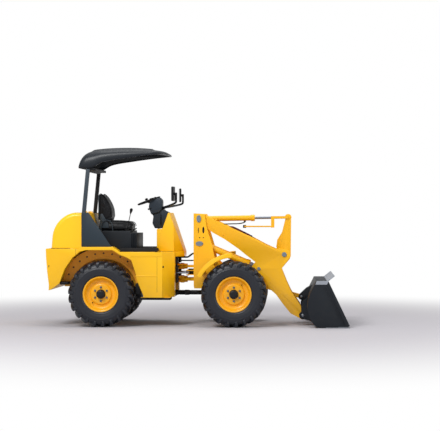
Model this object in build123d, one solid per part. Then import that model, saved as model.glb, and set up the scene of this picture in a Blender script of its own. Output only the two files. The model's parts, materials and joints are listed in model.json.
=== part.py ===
from build123d import *
import os
from math import cos, hypot, pi, radians, sin

os.makedirs("parts", exist_ok=True)

# Fits and walls used all over
run_gap = 0.3
side_gap = 5.0
overrun = 20.0
sheet = 10.0
plate = 25.0

# Wheels and axles
tyre_diameter = 915.0
tyre_width = 394.0
tread_depth = 30.0
tread_base_width = 300.0
tyre_flat_count = 22
lug_count = 22
lug_width = 40.0
lug_sweep = 92.0
lug_root = 14.0
lug_shoulder_drop = 24.0
lug_foot = 62.0
flange_diameter = 500.0
bead_diameter = 457.0
rim_width = 330.0
rim_wall = 10.0
disc_offset = 75.0
disc_wall = 14.0
disc_rise = 26.0
disc_rise_diameter = 280.0
hub_cap_diameter = 126.0
hub_cap_length = 62.0
track_width = 1296.0
wheelbase = 1848.0
pivot_ahead_of_axle = 1083.0
pivot_x = -250.0
axle_tube_diameter = 110.0
brake_diameter = 220.0
brake_length = 150.0
bulb_diameter = 270.0
bulb_width = 240.0
axle_z = tyre_diameter / 2
rear_axle_x = pivot_x - pivot_ahead_of_axle
front_axle_x = rear_axle_x + wheelbase
wheel_y = track_width / 2
axle_half = wheel_y + disc_offset - run_gap

# Rear body
rear_overhang = 782.0
body_width = 1400.0
body_inner_width = 660.0
well_width = 800.0
deck_above_axle = 585.0
deck_thickness = 72.0
deck_overhang = 42.0
deck_flare = 1.28
counterweight_height = 581.0
counterweight_length = 415.0
counterweight_core = 210.0
arch_radius = 610.0
box_gap = 77.0
box_front_x = pivot_x - box_gap
box_depth = 635.0
box_chamfer_length = 158.0
box_chamfer_width = 205.0
step_depth = 33.0
step_length = 410.0
shoulder_height = 69.0
counterweight_x = rear_axle_x - rear_overhang
deck_z = axle_z + deck_above_axle
shoulder_z = deck_z + shoulder_height
counterweight_z = shoulder_z - plate
body_y = body_width / 2
well_y = well_width / 2
inner_y = body_inner_width / 2
bulkhead_behind_axle = 289.0
bulkhead_rear_x = rear_axle_x - bulkhead_behind_axle

# Hood
hood_length = 430.0
hood_height = 500.0
hood_width = 1200.0
hood_round = 60.0
hood_gap = 6.0
hood_x = bulkhead_rear_x - hood_gap
hood_z = counterweight_z + run_gap
hood_open_grille_rows = 6
grille_width = 640.0
grille_slot = 14.0
grille_pitch = 34.0
hinge_radius = 11.0
hinge_pin_radius = 5.0
hinge_eye_length = 60.0
hinge_spacing = 600.0
hinge_lift = 5.0
eye_gap = 1.0
engine_length = 235.0
engine_width = 460.0
engine_height = 420.0

# Bulkhead, covers and seat base
bulkhead_length = 150.0
bulkhead_width = 1286.0
bulkhead_height = 472.0
cover_length = 423.0
cover_thickness = 14.0
seat_base_length = 520.0
seat_base_width = 900.0
seat_base_height = 242.0
rib_block_length = 90.0
rib_block_height = 210.0
rib_count = 4
rib_depth = 12.0
mat_thickness = 50.0
mat_setback = 310.0
mat_end_x = pivot_x - mat_setback

# Seat
cushion_length = 500.0
cushion_width = 480.0
cushion_height = 150.0
back_length = 193.0
back_height = 400.0
back_width = 440.0
seat_round = 16.0
seat_behind_axle = 105.0
seat_x = rear_axle_x - seat_behind_axle

# Cowl, dash and steering wheel
cowl_length = 378.0
cowl_height = 549.0
cowl_width = 800.0
cowl_front_width = 444.0
cowl_chamfer_length = 140.0
cowl_setback = 337.0
cowl_rear_x = pivot_x - cowl_setback
dash_width = 250.0
dash_length = 193.0
dash_height = 244.0
dash_overhang = 141.0
dash_above_deck = 524.0
shroud_length = 236.0
shroud_height = 272.0
shroud_width = 200.0
shroud_overhang = 126.0
steer_diameter = 350.0
steer_grip = 26.0
steer_grip_flat_count = 8
steer_tilt = 19.5
steer_offset = 7.0
spoke_width = 30.0
lever_height = 300.0

# Canopy
canopy_length = 1298.0
canopy_height = 301.0
canopy_width = 1240.0
canopy_skin = 24.0
canopy_behind_axle = 338.0
canopy_x = rear_axle_x - canopy_behind_axle
post_size = 54.0
post_inset = 48.0
post_spacing = bulkhead_width - 2 * post_inset
post_height = 600.0
post_lean = 5.6
post_foot = 10.0
roof_plate_length = 200.0
roof_plate_height = 30.0

# Mirrors
mirror_height = 206.0
mirror_width = 140.0
mirror_thickness = 40.0
mirror_spacing = 1350.0
mirror_arm = 22.0
mirror_above_deck = 809.5
mirror_ahead = 253.0

# Rear frame and articulation
rail_spacing = 600.0
rail_height = 330.0
ear_radius = 75.0
ear_thickness = 20.0
hinge_pin_diameter = 55.0
upper_ear_above_axle = 367.0
lower_ear_above_axle = 183.0
ear_play = 1.5
upper_ear_z = axle_z + upper_ear_above_axle
lower_ear_z = axle_z + lower_ear_above_axle
ear_eye_upper = 28.0
ear_eye_lower = 44.0
rear_plate_setback = 500.0
rear_plate_x = pivot_x - rear_plate_setback
shaft_diameter = 54.0
shaft_drop = 11.0
joint_radius = 30.0
hose_diameter = 22.0
hose_play = 2.0

# Steering cylinders
steer_rear_reach = 420.0
steer_rear_y = 245.0
steer_front_reach = 90.0
steer_front_y = 160.0
steer_bore_diameter = 54.0
steer_rod_diameter = 28.0
steer_eye_radius = 26.0
steer_eye_width = 30.0
steer_above_axle = 280.0
steer_barrel_length = 350.0
steer_rod_start = 205.6
steer_z = axle_z + steer_above_axle

# Tower and front frame
tower_ahead_of_pivot = 182.0
tower_rear_x = pivot_x + tower_ahead_of_pivot
tower_length = 738.0
tower_height = 1061.0
tower_above_axle = 62.5
tower_bottom_z = axle_z + tower_above_axle
tower_tyre_gap = 86.0
tower_outer_y = wheel_y - tyre_width / 2 - tower_tyre_gap
tower_web_height = 660.0

# Lift arm pins
arm_thickness = 50.0
arm_inner_y = tower_outer_y - plate - side_gap - arm_thickness
boom_pivot_in = 74.0
boom_pivot_above_axle = 1046.5
boom_reach = 1468.0
boom_pivot_x = tower_rear_x + boom_pivot_in
boom_pivot_z = axle_z + boom_pivot_above_axle
bucket_pin_x = boom_pivot_x + boom_reach
bucket_pin_z = 144.0
pin_radius = 30.0
arm_eye_radius = 60.0
boom_tube_radius = 62.0
lift_base_ahead = 9.0
lift_base_drop = 351.0
lift_inset = 45.0
lift_base_x = boom_pivot_x + lift_base_ahead
lift_base_z = boom_pivot_z - lift_base_drop
lift_y = arm_inner_y - lift_inset
lift_bore_diameter = 80.0
lift_rod_diameter = 40.0
lift_barrel_length = 755.0
lift_eye_radius = 36.0
lift_eye_width = 50.0
tilt_bore_diameter = 76.0
tilt_rod_diameter = 38.0
tilt_barrel_length = 779.0
tilt_eye_radius = 38.0
tilt_eye_width = 60.0
tilt_retract = 420.0
lever_radius = 68.0
lever_plate = 25.0
link_width = 60.0
link_height = 74.0
link_pin_dx = -15.0
link_pin_dz = 247.0

# Bucket
bucket_width = 1690.0
bucket_depth = 580.0
bucket_height = 647.0
bucket_wall = 12.0
bucket_pin_reach = 61.0
bucket_back_x = bucket_pin_x + bucket_pin_reach
lip_length = 118.0
lip_angle = 43.0
edge_length = 160.0
edge_thickness = 18.0
side_strip = 8.0
side_strip_width = 45.0
ear_plate = 20.0

# Fenders
fender_radius = 570.0
fender_width = 350.0
fender_sheet = 10.0
fender_flange = 26.0
fender_inset = 186.0
fender_inner_y = wheel_y - fender_inset
fender_start = 93.0
fender_end = 153.0


def span(shares, x, z, length, height):
    return [(x + along * length, z + up * height) for along, up in shares]


def slab(points, y_low, y_high):
    solid = extrude(Polygon(*points, align=None), y_high - y_low, dir=(0, 0, 1))
    return Pos(0, y_high, 0) * Rot(90, 0, 0) * solid


def plan(points, z_low, z_high):
    solid = extrude(Polygon(*points, align=None), z_high - z_low, dir=(0, 0, 1))
    return Pos(0, 0, z_low) * solid


def block(x_low, x_high, y_low, y_high, z_low, z_high):
    middle = Pos((x_low + x_high) / 2, (y_low + y_high) / 2, (z_low + z_high) / 2)
    return middle * Box(x_high - x_low, y_high - y_low, z_high - z_low)


def pin_y(x, z, radius, y_low, y_high):
    return Pos(x, (y_low + y_high) / 2, z) * Rot(90, 0, 0) * Cylinder(radius, y_high - y_low)


def pin_z(x, y, radius, z_low, z_high):
    return Pos(x, y, (z_low + z_high) / 2) * Cylinder(radius, z_high - z_low)


def bar(start, end, radius):
    run = Vector(*end) - Vector(*start)
    seat = Plane(origin=start, z_dir=(run.X, run.Y, run.Z))
    return seat * Cylinder(radius, run.length, align=(Align.CENTER, Align.CENTER, Align.MIN))


def both(*solids):
    return [*solids, *[mirror(solid, about=Plane.XZ) for solid in solids]]


def save(node, *shapes):
    solids = [solid for shape in shapes for solid in shape.solids()]
    export_step(Compound(solids), f"parts/{node}.step")


def along(start, end, share, offset_share=0.0):
    dx, dz = end[0] - start[0], end[1] - start[1]
    return (start[0] + share * dx - offset_share * dz, start[1] + share * dz + offset_share * dx)


def wheel_solid(profile):
    points = [(radius, across) for across, radius in profile]
    face = make_face(Polyline(*points, close=True))
    return Rot(-90, 0, 0) * Rot(90, 0, 0) * revolve(face, Axis.Y)


# Tyres, rims and hub caps
bead_radius = bead_diameter / 2
tyre_radius = tyre_diameter / 2
half_tyre = tyre_width / 2
half_rim = rim_width / 2
half_tread = tread_base_width / 2
tread_radius = tyre_radius - tread_depth
wall_shares = [
    (0.94, 0.10), (1.0, 0.55), (0.86, 1.0), (-0.86, 1.0), (-1.0, 0.55), (-0.94, 0.10),
]


def ring(y, radius):
    return Plane(origin=(0, y, 0), x_dir=(1, 0, 0), z_dir=(0, -1, 0)) * RegularPolygon(radius, tyre_flat_count, major_radius=False)


# Tyre: a body of flats with two rows of swept lugs, each lug a plan cut to the tread's outline
rings = [ring(share * half_tyre, bead_radius + up * (tread_radius - bead_radius)) for share, up in wall_shares]
tyre = loft(rings, ruled=True)
seat_half = half_rim - rim_wall - run_gap
tyre -= loft([ring(-half_tyre, bead_radius + run_gap), ring(half_tyre, bead_radius + run_gap)], ruled=True)
for side_sign in (1, -1):
    tyre -= loft([
        ring(side_sign * seat_half, flange_diameter / 2 + side_gap), ring(side_sign * half_tyre, flange_diameter / 2 + side_gap),
    ], ruled=True)
lug_top = (tyre_radius ** 2 - (lug_sweep / 2 + lug_width / 2) ** 2) ** 0.5
lug_reach = half_tyre - run_gap
lug_plan = plan([
    (-lug_sweep / 2 - lug_width / 2, lug_reach), (-lug_sweep / 2 + lug_width / 2, lug_reach),
    (lug_sweep / 2 + lug_width / 2, lug_root), (lug_sweep / 2 - lug_width / 2, lug_root),
], tread_radius - lug_foot, tyre_radius)
lug_side = Polygon(
    (lug_root, tread_radius - sheet), (lug_root, lug_top), (half_tread, lug_top), (lug_reach - sheet, lug_top - lug_shoulder_drop),
    (lug_reach, tread_radius - lug_foot), (half_tread, tread_radius - lug_foot), align=None)
lug_cut = Plane.YZ * extrude(lug_side, tyre_width, both=True)
lug = lug_plan & lug_cut
lugs = []
for index in range(lug_count):
    turn = 360 / lug_count * index
    lugs.append(Rot(0, turn, 0) * lug)
    lugs.append(Rot(0, turn + 180 / lug_count, 0) * mirror(lug, about=Plane.XZ))
tyre = tyre + lugs
flange_radius = flange_diameter / 2
well_radius = bead_radius - 2 * rim_wall
rise_radius = disc_rise_diameter / 2
hub_radius = hub_cap_diameter / 2
rim_profile = [
    (-half_rim, bead_radius),
    (-half_rim, flange_radius),
    (-half_rim + rim_wall, flange_radius),
    (-half_rim + rim_wall, bead_radius),
    (half_rim - rim_wall, bead_radius),
    (half_rim - rim_wall, flange_radius),
    (half_rim, flange_radius),
    (half_rim, bead_radius - rim_wall),
    (disc_offset + disc_wall, well_radius + rim_wall),
    (disc_offset + disc_wall, rise_radius + disc_rise),
    (disc_offset + disc_wall + disc_rise, rise_radius),
    (disc_offset + disc_wall + disc_rise, 0),
    (disc_offset, 0),
    (disc_offset, well_radius),
    (-half_rim + rim_wall, bead_radius - rim_wall),
    (-half_rim, bead_radius - rim_wall),
]
rim = wheel_solid(rim_profile)
cap_start = disc_offset + disc_wall + disc_rise
cap = pin_y(0, 0, hub_radius, cap_start, cap_start + hub_cap_length)
cap = chamfer(cap.edges().sort_by(Axis.Y)[-1:], sheet)
for place, axle_x in (("rear", rear_axle_x), ("front", front_axle_x)):
    for side, turn in (("left", 0), ("right", 180)):
        seat_y = wheel_y if turn == 0 else -wheel_y
        seat = Pos(axle_x, seat_y, axle_z) * Rot(0, 0, turn)
        save(f"tyre_{place}_{side}", Pos(axle_x, seat_y, axle_z) * (tyre if turn == 0 else mirror(tyre, about=Plane.XZ)))
        save(f"rim_{place}_{side}", seat * (rim + cap))

# Axles, each with its drive shaft; the shafts' joint lies on the steering pivot
shaft_z = axle_z - shaft_drop
shaft_radius = shaft_diameter / 2
nose_reach = 0.75 * bulb_diameter
brake_end = axle_half - disc_offset / 2
axles = {}
for place, axle_x in (("rear", rear_axle_x), ("front", front_axle_x)):
    tube = pin_y(axle_x, axle_z, axle_tube_diameter / 2, -axle_half, axle_half)
    bulb = pin_y(axle_x, axle_z, bulb_diameter / 2, -bulb_width / 2, bulb_width / 2)
    bulb = chamfer(bulb.edges(), bulb_width / 5)
    brakes = both(pin_y(axle_x, axle_z, brake_diameter / 2, brake_end - brake_length, brake_end))
    saddles = both(block(
        axle_x - axle_tube_diameter / 2, axle_x + axle_tube_diameter / 2,
        rail_spacing / 2 - 4 * plate, rail_spacing / 2 + 1.6 * plate, axle_z, tower_bottom_z + plate))
    inward = 1 if place == "rear" else -1
    nose = bar((axle_x, 0, shaft_z), (axle_x + inward * nose_reach, 0, shaft_z), shaft_diameter)
    axles[place] = tube + bulb + brakes[0] + brakes[1] + nose + saddles[0] + saddles[1]
yoke_gap = joint_radius + side_gap
shaft = bar((rear_axle_x + nose_reach, 0, shaft_z), (pivot_x, 0, shaft_z), 0.8 * shaft_radius)
yoke = bar((pivot_x - 4 * joint_radius, 0, shaft_z), (pivot_x - 2 * joint_radius, 0, shaft_z), 1.4 * shaft_radius)
save("rear_axle", axles["rear"] + shaft + yoke + Pos(pivot_x, 0, shaft_z) * Sphere(joint_radius))
shaft = bar((pivot_x + yoke_gap, 0, shaft_z), (front_axle_x - nose_reach, 0, shaft_z), shaft_radius)
yoke = bar((pivot_x + yoke_gap, 0, shaft_z), (pivot_x + 3 * joint_radius, 0, shaft_z), 1.4 * shaft_radius)
save("front_axle", axles["front"] + shaft + yoke)

# Rear frame: rails, crossmembers and the forked ears of the steering pivot
rail_y = rail_spacing / 2
rail_low_z = tower_bottom_z + plate
rail_top_z = rail_low_z + rail_height
rail_rear_x = counterweight_x + counterweight_core
rail_front_x = pivot_x - 2 * ear_radius - ear_thickness
rails = both(block(rail_rear_x, rail_front_x, rail_y, rail_y + plate, rail_low_z, rail_top_z))
rear_member = block(rail_rear_x, rail_rear_x + plate, -rail_y, rail_y, rail_low_z, rail_top_z)
pivot_member = block(rear_plate_x - plate, rear_plate_x, -rail_y, rail_y, rail_low_z, rail_top_z)
engine_x = hood_x - engine_length
engine_member = block(engine_x, engine_x + engine_length, -rail_y, rail_y, rail_top_z - sheet, rail_top_z)
ear_shape = [
    (rear_plate_x, -rail_y), (rear_plate_x, rail_y), (rail_front_x, rail_y),
    (pivot_x, ear_radius), (pivot_x, -ear_radius), (rail_front_x, -rail_y),
]
pin_radius_z = hinge_pin_diameter / 2
rear_frame = rails[0] + rails[1] + rear_member + pivot_member + engine_member
for eye_z, eye in ((upper_ear_z, ear_eye_upper), (lower_ear_z, ear_eye_lower)):
    for low in (eye_z - eye / 2 - ear_play - ear_thickness, eye_z + eye / 2 + ear_play):
        rear_frame += plan(ear_shape, low, low + ear_thickness)
        rear_frame += pin_z(pivot_x, 0, ear_radius, low, low + ear_thickness)
    reach = eye / 2 + ear_play + ear_thickness + sheet
    rear_frame += pin_z(pivot_x, 0, pin_radius_z, eye_z - reach, eye_z + reach)
steer_lugs = []
for side in (1, -1):
    steer_x, steer_y = pivot_x - steer_rear_reach, side * steer_rear_y
    for low in (steer_z - steer_eye_width / 2 - side_gap - sheet, steer_z + steer_eye_width / 2 + side_gap):
        lug = block(rear_plate_x, steer_x, steer_y - steer_eye_radius, steer_y + steer_eye_radius, low, low + sheet)
        rear_frame += lug + pin_z(steer_x, steer_y, steer_eye_radius, low, low + sheet)
    head = steer_eye_width / 2 + side_gap + 2 * sheet
    rear_frame += pin_z(steer_x, steer_y, sheet, steer_z - head, steer_z + head)
save("rear_frame", rear_frame)

# Engine, one plain block on the rails
save("engine_block", block(
    engine_x, engine_x + engine_length, -engine_width / 2, engine_width / 2,
    rail_top_z, rail_top_z + engine_height))

# Counterweight with its tow jaw
arch_rear_shares = [(-0.967, 0.239), (-0.852, 0.563), (-0.669, 0.829), (-0.595, 0.885)]
arch_front_shares = [
    (-0.595, 0.885), (-0.510, 0.961), (-0.362, 0.998), (0.248, 0.998), (0.418, 0.890),
    (0.566, 0.834), (0.680, 0.771), (0.795, 0.430), (0.795, 0.352), (0.946, -0.007),
]
arch_split_x = rear_axle_x - 0.595 * arch_radius
weight_shares = [(0.0, 1.0), (0.010, 0.793), (0.048, 0.449), (0.106, 0.120), (0.096, 0.0), (0.154, 0.009)]
weight_low_z = counterweight_z - counterweight_height
weight_outline = (
    span(weight_shares, counterweight_x, weight_low_z, counterweight_length, counterweight_height)
    + span(arch_rear_shares, rear_axle_x, axle_z, arch_radius, arch_radius)
    + [(arch_split_x, counterweight_z)]
)
weight = slab(weight_outline, -body_y, body_y)
weight -= block(
    counterweight_x + counterweight_core, arch_split_x + overrun, -well_y, well_y,
    weight_low_z - overrun, counterweight_z + overrun)
tow_x = counterweight_x + 1.6 * plate
tow_low_z = weight_low_z + counterweight_height * 0.30
tow_gap = 70.0
tow_radius = 14.0
tow_jaw_width = 130.0
tow_jaw_depth = 90.0
tow_wall = 40.0
tow_pocket = 220.0
weight -= block(
    counterweight_x - overrun, counterweight_x + tow_jaw_depth + plate, -tow_jaw_width / 2, tow_jaw_width / 2,
    tow_low_z, tow_low_z + tow_gap)
weight -= pin_z(tow_x + plate, 0, tow_radius, tow_low_z - tow_wall, tow_low_z + tow_gap + tow_wall)
weight -= block(
    counterweight_x - overrun, counterweight_x + tow_jaw_depth + plate, -tow_jaw_width / 2, tow_jaw_width / 2,
    tow_low_z + tow_gap + tow_wall, tow_low_z + tow_gap + tow_wall + tow_pocket)
save("counterweight", weight)

# Body sides with the wheel arches and the front boxes
box_low_z = deck_z - box_depth
deck_front_x = pivot_x + deck_overhang
deck_rear_x = rear_axle_x + 0.418 * arch_radius
deck_low_z = deck_z - deck_thickness
arch_front = span(arch_front_shares, rear_axle_x, axle_z, arch_radius, arch_radius)
side_outline = (
    [(bulkhead_rear_x, shoulder_z), (bulkhead_rear_x, counterweight_z), (arch_split_x, counterweight_z)]
    + arch_front
    + [
        (rear_axle_x + 0.970 * arch_radius, box_low_z), (box_front_x, box_low_z), (box_front_x, deck_z),
        (deck_rear_x, deck_z), (rear_axle_x + 0.248 * arch_radius, shoulder_z),
    ]
)
side = slab(side_outline, inner_y, body_y)
corner = plan([
    (box_front_x + overrun, body_y - box_chamfer_width - overrun * box_chamfer_width / box_chamfer_length),
    (box_front_x + overrun, body_y + overrun), (box_front_x - box_chamfer_length, body_y + overrun),
    (box_front_x - box_chamfer_length, body_y),
], box_low_z - overrun, deck_z + overrun)
side = side - corner
step = block(
    rear_axle_x + 0.90 * arch_radius, rear_axle_x + 0.90 * arch_radius + step_length,
    well_y, body_y - plate, box_low_z - step_depth, box_low_z)
body_sides = both(side + step)

# Deck with cut front corners, and the floor mat
nose_y = cowl_front_width / 2
deck_side_y = nose_y + deck_flare * (deck_front_x - box_front_x)
half_deck = [(deck_front_x, 0), (deck_front_x, nose_y), (box_front_x, deck_side_y), (deck_rear_x, deck_side_y), (deck_rear_x, 0)]
deck_half = plan(half_deck, deck_low_z, deck_z)
deck = deck_half + mirror(deck_half, about=Plane.XZ)
save("body_shell", body_sides[0] + body_sides[1] + deck)
mat_y = body_y - plate
save("floor_mat", block(deck_rear_x, mat_end_x, -mat_y, mat_y, deck_z, deck_z + mat_thickness)
     - block(cowl_rear_x, mat_end_x + overrun, -cowl_width / 2, cowl_width / 2, deck_z, deck_z + mat_thickness + overrun))

# Bulkhead behind the seat, with the hood hinge lugs
bulkhead_y = bulkhead_width / 2
bulkhead_top_z = shoulder_z + bulkhead_height
bulkhead_shares = [(0.0, 0.0), (0.0, 1.0), (0.72, 1.0), (1.0, 0.70), (1.0, 0.0)]
bulkhead = slab(
    span(bulkhead_shares, bulkhead_rear_x, shoulder_z, bulkhead_length, bulkhead_height), -bulkhead_y, bulkhead_y)
hinge_x = hood_x - hinge_radius
hinge_z = hood_z + hood_height + hinge_radius + hinge_lift
for side_y in (hinge_spacing / 2, -hinge_spacing / 2):
    for start in (side_y - hinge_eye_length / 2 - sheet - eye_gap, side_y + hinge_eye_length / 2 + eye_gap):
        lug = slab([
            (bulkhead_rear_x, bulkhead_top_z - plate), (bulkhead_rear_x, hinge_z - hinge_radius),
            (hinge_x, hinge_z - hinge_radius), (hinge_x, hinge_z + hinge_radius),
            (bulkhead_rear_x + plate, hinge_z + hinge_radius), (bulkhead_rear_x + 2 * plate, bulkhead_top_z - plate),
        ], start, start + sheet)
        bulkhead += lug + pin_y(hinge_x, hinge_z, hinge_radius, start, start + sheet)
    bulkhead += pin_y(
        hinge_x, hinge_z, hinge_pin_radius,
        side_y - hinge_eye_length / 2 - sheet, side_y + hinge_eye_length / 2 + sheet)
save("bulkhead", bulkhead)


# Hood, a hollow lid open below and in front
hood_rear_x = hood_x - hood_length
hood_top_z = hood_z + hood_height
hood_start = (hood_rear_x, hood_z)
hood_knee = (hood_rear_x + 0.030 * hood_length, hood_z + 0.32 * hood_height)
hood_shoulder = (hood_rear_x + 0.50 * hood_length, hood_z + 0.935 * hood_height)
hood_crown = (hood_x, hood_top_z)
hood_back = Line(hood_start, hood_knee)
hood_bend = TangentArc(hood_knee, hood_shoulder, tangent=hood_back % 1)
hood_roof = TangentArc(hood_shoulder, hood_crown, tangent=hood_bend % 1)
hood_face = make_face(
    Curve() + [hood_back, hood_bend, hood_roof, Line(hood_crown, (hood_x, hood_z)), Line((hood_x, hood_z), hood_start)])
hood_half = hood_width / 2


def lid(face, half):
    return Pos(0, half, 0) * Rot(90, 0, 0) * extrude(face, 2 * half, dir=(0, 0, 1))


hood_outer = lid(hood_face, hood_half)
round_edges = [
    edge for edge in hood_outer.edges()
    if abs(abs(edge.center().Y) - hood_half) < 1 and edge.center().Z > hood_z + overrun and edge.center().X < hood_x - sheet
]
hood_outer = fillet(round_edges, hood_round)
hood = hood_outer - lid(offset(hood_face, -sheet), hood_half - sheet)
hood -= block(hood_rear_x + 1.6 * sheet, hood_x + overrun, -hood_half + sheet, hood_half - sheet, hood_z - overrun, hood_z + 2 * sheet)
hood -= block(
    hood_x - 2 * sheet, hood_x + overrun, -hood_half + hood_round, hood_half - hood_round, hood_z - overrun, hood_top_z - 1.4 * sheet)
hood -= block(
    hood_x - 2 * sheet, hood_x + overrun, -hood_half + sheet, hood_half - sheet, hood_z - overrun, hood_top_z - hood_round)
for row in range(hood_open_grille_rows):
    low = hood_z + 2 * grille_pitch + row * grille_pitch
    hood -= block(hood_x - hood_length - overrun, hood_x - hood_length / 2, -grille_width / 2, grille_width / 2, low, low + grille_slot)
for side_y in (hinge_spacing / 2, -hinge_spacing / 2):
    start, end = side_y - hinge_eye_length / 2, side_y + hinge_eye_length / 2
    eye = pin_y(hinge_x, hinge_z, hinge_radius, start, end)
    foot = block(hinge_x - hinge_radius, hinge_x, start, end, hinge_z - 2 * hinge_radius, hinge_z)
    hood += eye + foot
    hood -= pin_y(hinge_x, hinge_z, hinge_pin_radius + run_gap, start - sheet, end + sheet)
save("hood", hood)

# Dark covers beside the seat base
cover_shares = [(0.0, 0.0), (0.0, 1.0), (0.255, 1.0), (1.0, 0.0)]
cover = slab(
    span(cover_shares, bulkhead_rear_x, shoulder_z, cover_length, bulkhead_height), bulkhead_y, bulkhead_y + cover_thickness)
save("side_covers", *both(cover))

# Seat base with its ribbed end
base_x = bulkhead_rear_x + bulkhead_length
base_y = seat_base_width / 2
base_low_z = shoulder_z
base = block(base_x, base_x + seat_base_length, -base_y, base_y, deck_z + mat_thickness, deck_z + mat_thickness + seat_base_height)
base += block(base_x, deck_rear_x - run_gap, -base_y, base_y, deck_low_z, deck_z + mat_thickness)
for shoulder in both(slab(side_outline, inner_y, body_y)):
    base -= shoulder
rib_x = base_x + seat_base_length
rib_pitch = rib_block_length / rib_count
rib_z = deck_z + mat_thickness
base += block(rib_x, rib_x + rib_block_length, -base_y + rib_depth, base_y - rib_depth, rib_z, rib_z + rib_block_height)
for row in range(rib_count):
    start = rib_x + row * rib_pitch
    base += block(start, start + rib_pitch / 2, -base_y, base_y, rib_z, rib_z + rib_block_height)
save("seat_base", base)

# Seat
seat_z = rib_z + seat_base_height
cushion_shares = [(0.0, 0.0), (0.0, 0.90), (0.40, 1.0), (0.94, 0.82), (1.0, 0.45), (0.97, 0.0)]
cushion = slab(
    span(cushion_shares, seat_x, seat_z, cushion_length, cushion_height), -cushion_width / 2, cushion_width / 2)
cushion = fillet(cushion.faces().sort_by(Axis.Y)[-1].edges() + cushion.faces().sort_by(Axis.Y)[0].edges(), plate)
back_shares = [(0.0, 0.0), (0.036, 0.971), (0.140, 1.0), (0.337, 0.934), (0.777, 0.634), (1.0, 0.317), (0.969, 0.036)]
back_z = seat_z + 0.90 * cushion_height + run_gap
back = slab(span(back_shares, seat_x, back_z, back_length, back_height), -back_width / 2, back_width / 2)
back = fillet(back.faces().sort_by(Axis.Y)[-1].edges() + back.faces().sort_by(Axis.Y)[0].edges(), seat_round)
save("seat", cushion, back)

# Cowl with cut front corners
cowl_shares = [(0.0, 0.0), (0.0, 0.579), (0.214, 0.592), (0.423, 1.0), (0.468, 1.0), (1.0, 0.0)]
cowl_y = cowl_width / 2
cowl = slab(span(cowl_shares, cowl_rear_x, deck_z, cowl_length, cowl_height), -cowl_y, cowl_y)
cowl_front_x = cowl_rear_x + cowl_length
keep = plan([
    (cowl_rear_x - overrun, -cowl_y), (cowl_front_x - cowl_chamfer_length, -cowl_y), (cowl_front_x, -nose_y),
    (cowl_front_x, nose_y), (cowl_front_x - cowl_chamfer_length, cowl_y), (cowl_rear_x - overrun, cowl_y),
], deck_z - overrun, deck_z + cowl_height + overrun)
save("cowl", cowl & keep)

# Dash: instrument pod on its shroud
dash_shares = [(0.083, 0.857), (0.819, 1.0), (1.0, 0.824), (1.0, 0.352), (0.782, 0.119), (0.187, 0.0), (0.0, 0.414)]
dash_x = cowl_rear_x - dash_overhang
dash_z = deck_z + dash_above_deck
pod = slab(span(dash_shares, dash_x, dash_z, dash_length, dash_height), -dash_width / 2, dash_width / 2)
lean_low = (cowl_rear_x + 0.214 * cowl_length, deck_z + 0.592 * cowl_height)
lean_high = (cowl_rear_x + 0.423 * cowl_length, deck_z + cowl_height)
shroud_shares = [(0.762, 1.0), (0.0, 0.974), (0.213, 0.632), (0.149, 0.265), (0.302, 0.0)]
shroud_x = cowl_rear_x - shroud_overhang
shroud_z = lean_low[1]
shroud = slab(
    span(shroud_shares, shroud_x, shroud_z, shroud_length, shroud_height) + [lean_low, lean_high],
    -shroud_width / 2, shroud_width / 2)
save("dash_column", pod + shroud)

# Steering wheel
steer_x = dash_x - steer_offset
steer_wheel_z = dash_z + 0.80 * dash_height
wheel_seat = Pos(steer_x, 0, steer_wheel_z) * Rot(0, -steer_tilt, 0)
grip = Plane.XZ * Pos(steer_diameter / 2 - steer_grip / 2, 0) * RegularPolygon(steer_grip / 2, steer_grip_flat_count, major_radius=False)
rim_ring = revolve(grip, Axis.Z)
spokes = Box(steer_diameter - 1.5 * steer_grip, spoke_width, spoke_width / 3)
spokes += Box(spoke_width, steer_diameter - 1.5 * steer_grip, spoke_width / 3)
boss = Cylinder(spoke_width, steer_grip)
save("steering_wheel", wheel_seat * (rim_ring + spokes + boss) - pod - shroud)

# Control levers and the thin rail beside the seat
lever_y = cushion_width / 2 + 4 * plate
lever_foot = (seat_x + cushion_length * 0.84, -lever_y, seat_z + sheet)
lever_top = (seat_x + cushion_length * 0.97, -lever_y, seat_z + lever_height)
levers = bar(lever_foot, lever_top, sheet * 0.8) + Pos(*lever_top) * Sphere(plate)
levers += pin_z(lever_foot[0], -lever_y, plate, seat_z, seat_z + 2 * plate)
rail_z = seat_z + cushion_height
rail_bar = sheet * 0.7
rail_ends = (seat_x + 0.08 * cushion_length, seat_x + 0.42 * cushion_length)
hoop_y = cushion_width / 2 + plate
hoop = [
    bar((rail_ends[0], hoop_y, seat_z), (rail_ends[0], hoop_y, rail_z), rail_bar),
    bar((rail_ends[0], hoop_y, rail_z), (rail_ends[1], hoop_y, rail_z), rail_bar),
    bar((rail_ends[1], hoop_y, seat_z), (rail_ends[1], hoop_y, rail_z), rail_bar),
]
hoops = both(hoop[0] + hoop[1] + hoop[2])
save("controls", levers, *hoops)

# Canopy posts, top member and feet
post_y = post_spacing / 2
post_top_z = bulkhead_top_z + post_height
lean_run = post_height * sin(radians(post_lean)) / cos(radians(post_lean))
foot_x = bulkhead_rear_x + post_size / 2 + run_gap
post_shape = [
    (foot_x - post_size / 2, bulkhead_top_z), (foot_x + post_size / 2, bulkhead_top_z),
    (foot_x + post_size / 2 + lean_run, post_top_z), (foot_x - post_size / 2 + lean_run, post_top_z),
]
posts = both(slab(post_shape, post_y - post_size / 2, post_y + post_size / 2))
feet = both(block(
    foot_x - post_size / 2, foot_x + post_size, post_y - post_size, post_y + post_size / 2 + sheet,
    bulkhead_top_z, bulkhead_top_z + post_foot))
top_member = block(
    foot_x + lean_run - post_size / 2, foot_x + lean_run + post_size / 2, -post_y, post_y, post_top_z - post_size, post_top_z)
roof_plate = block(
    foot_x + lean_run - post_size, foot_x + lean_run - post_size + roof_plate_length, -post_y, post_y,
    post_top_z, post_top_z + roof_plate_height)
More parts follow.
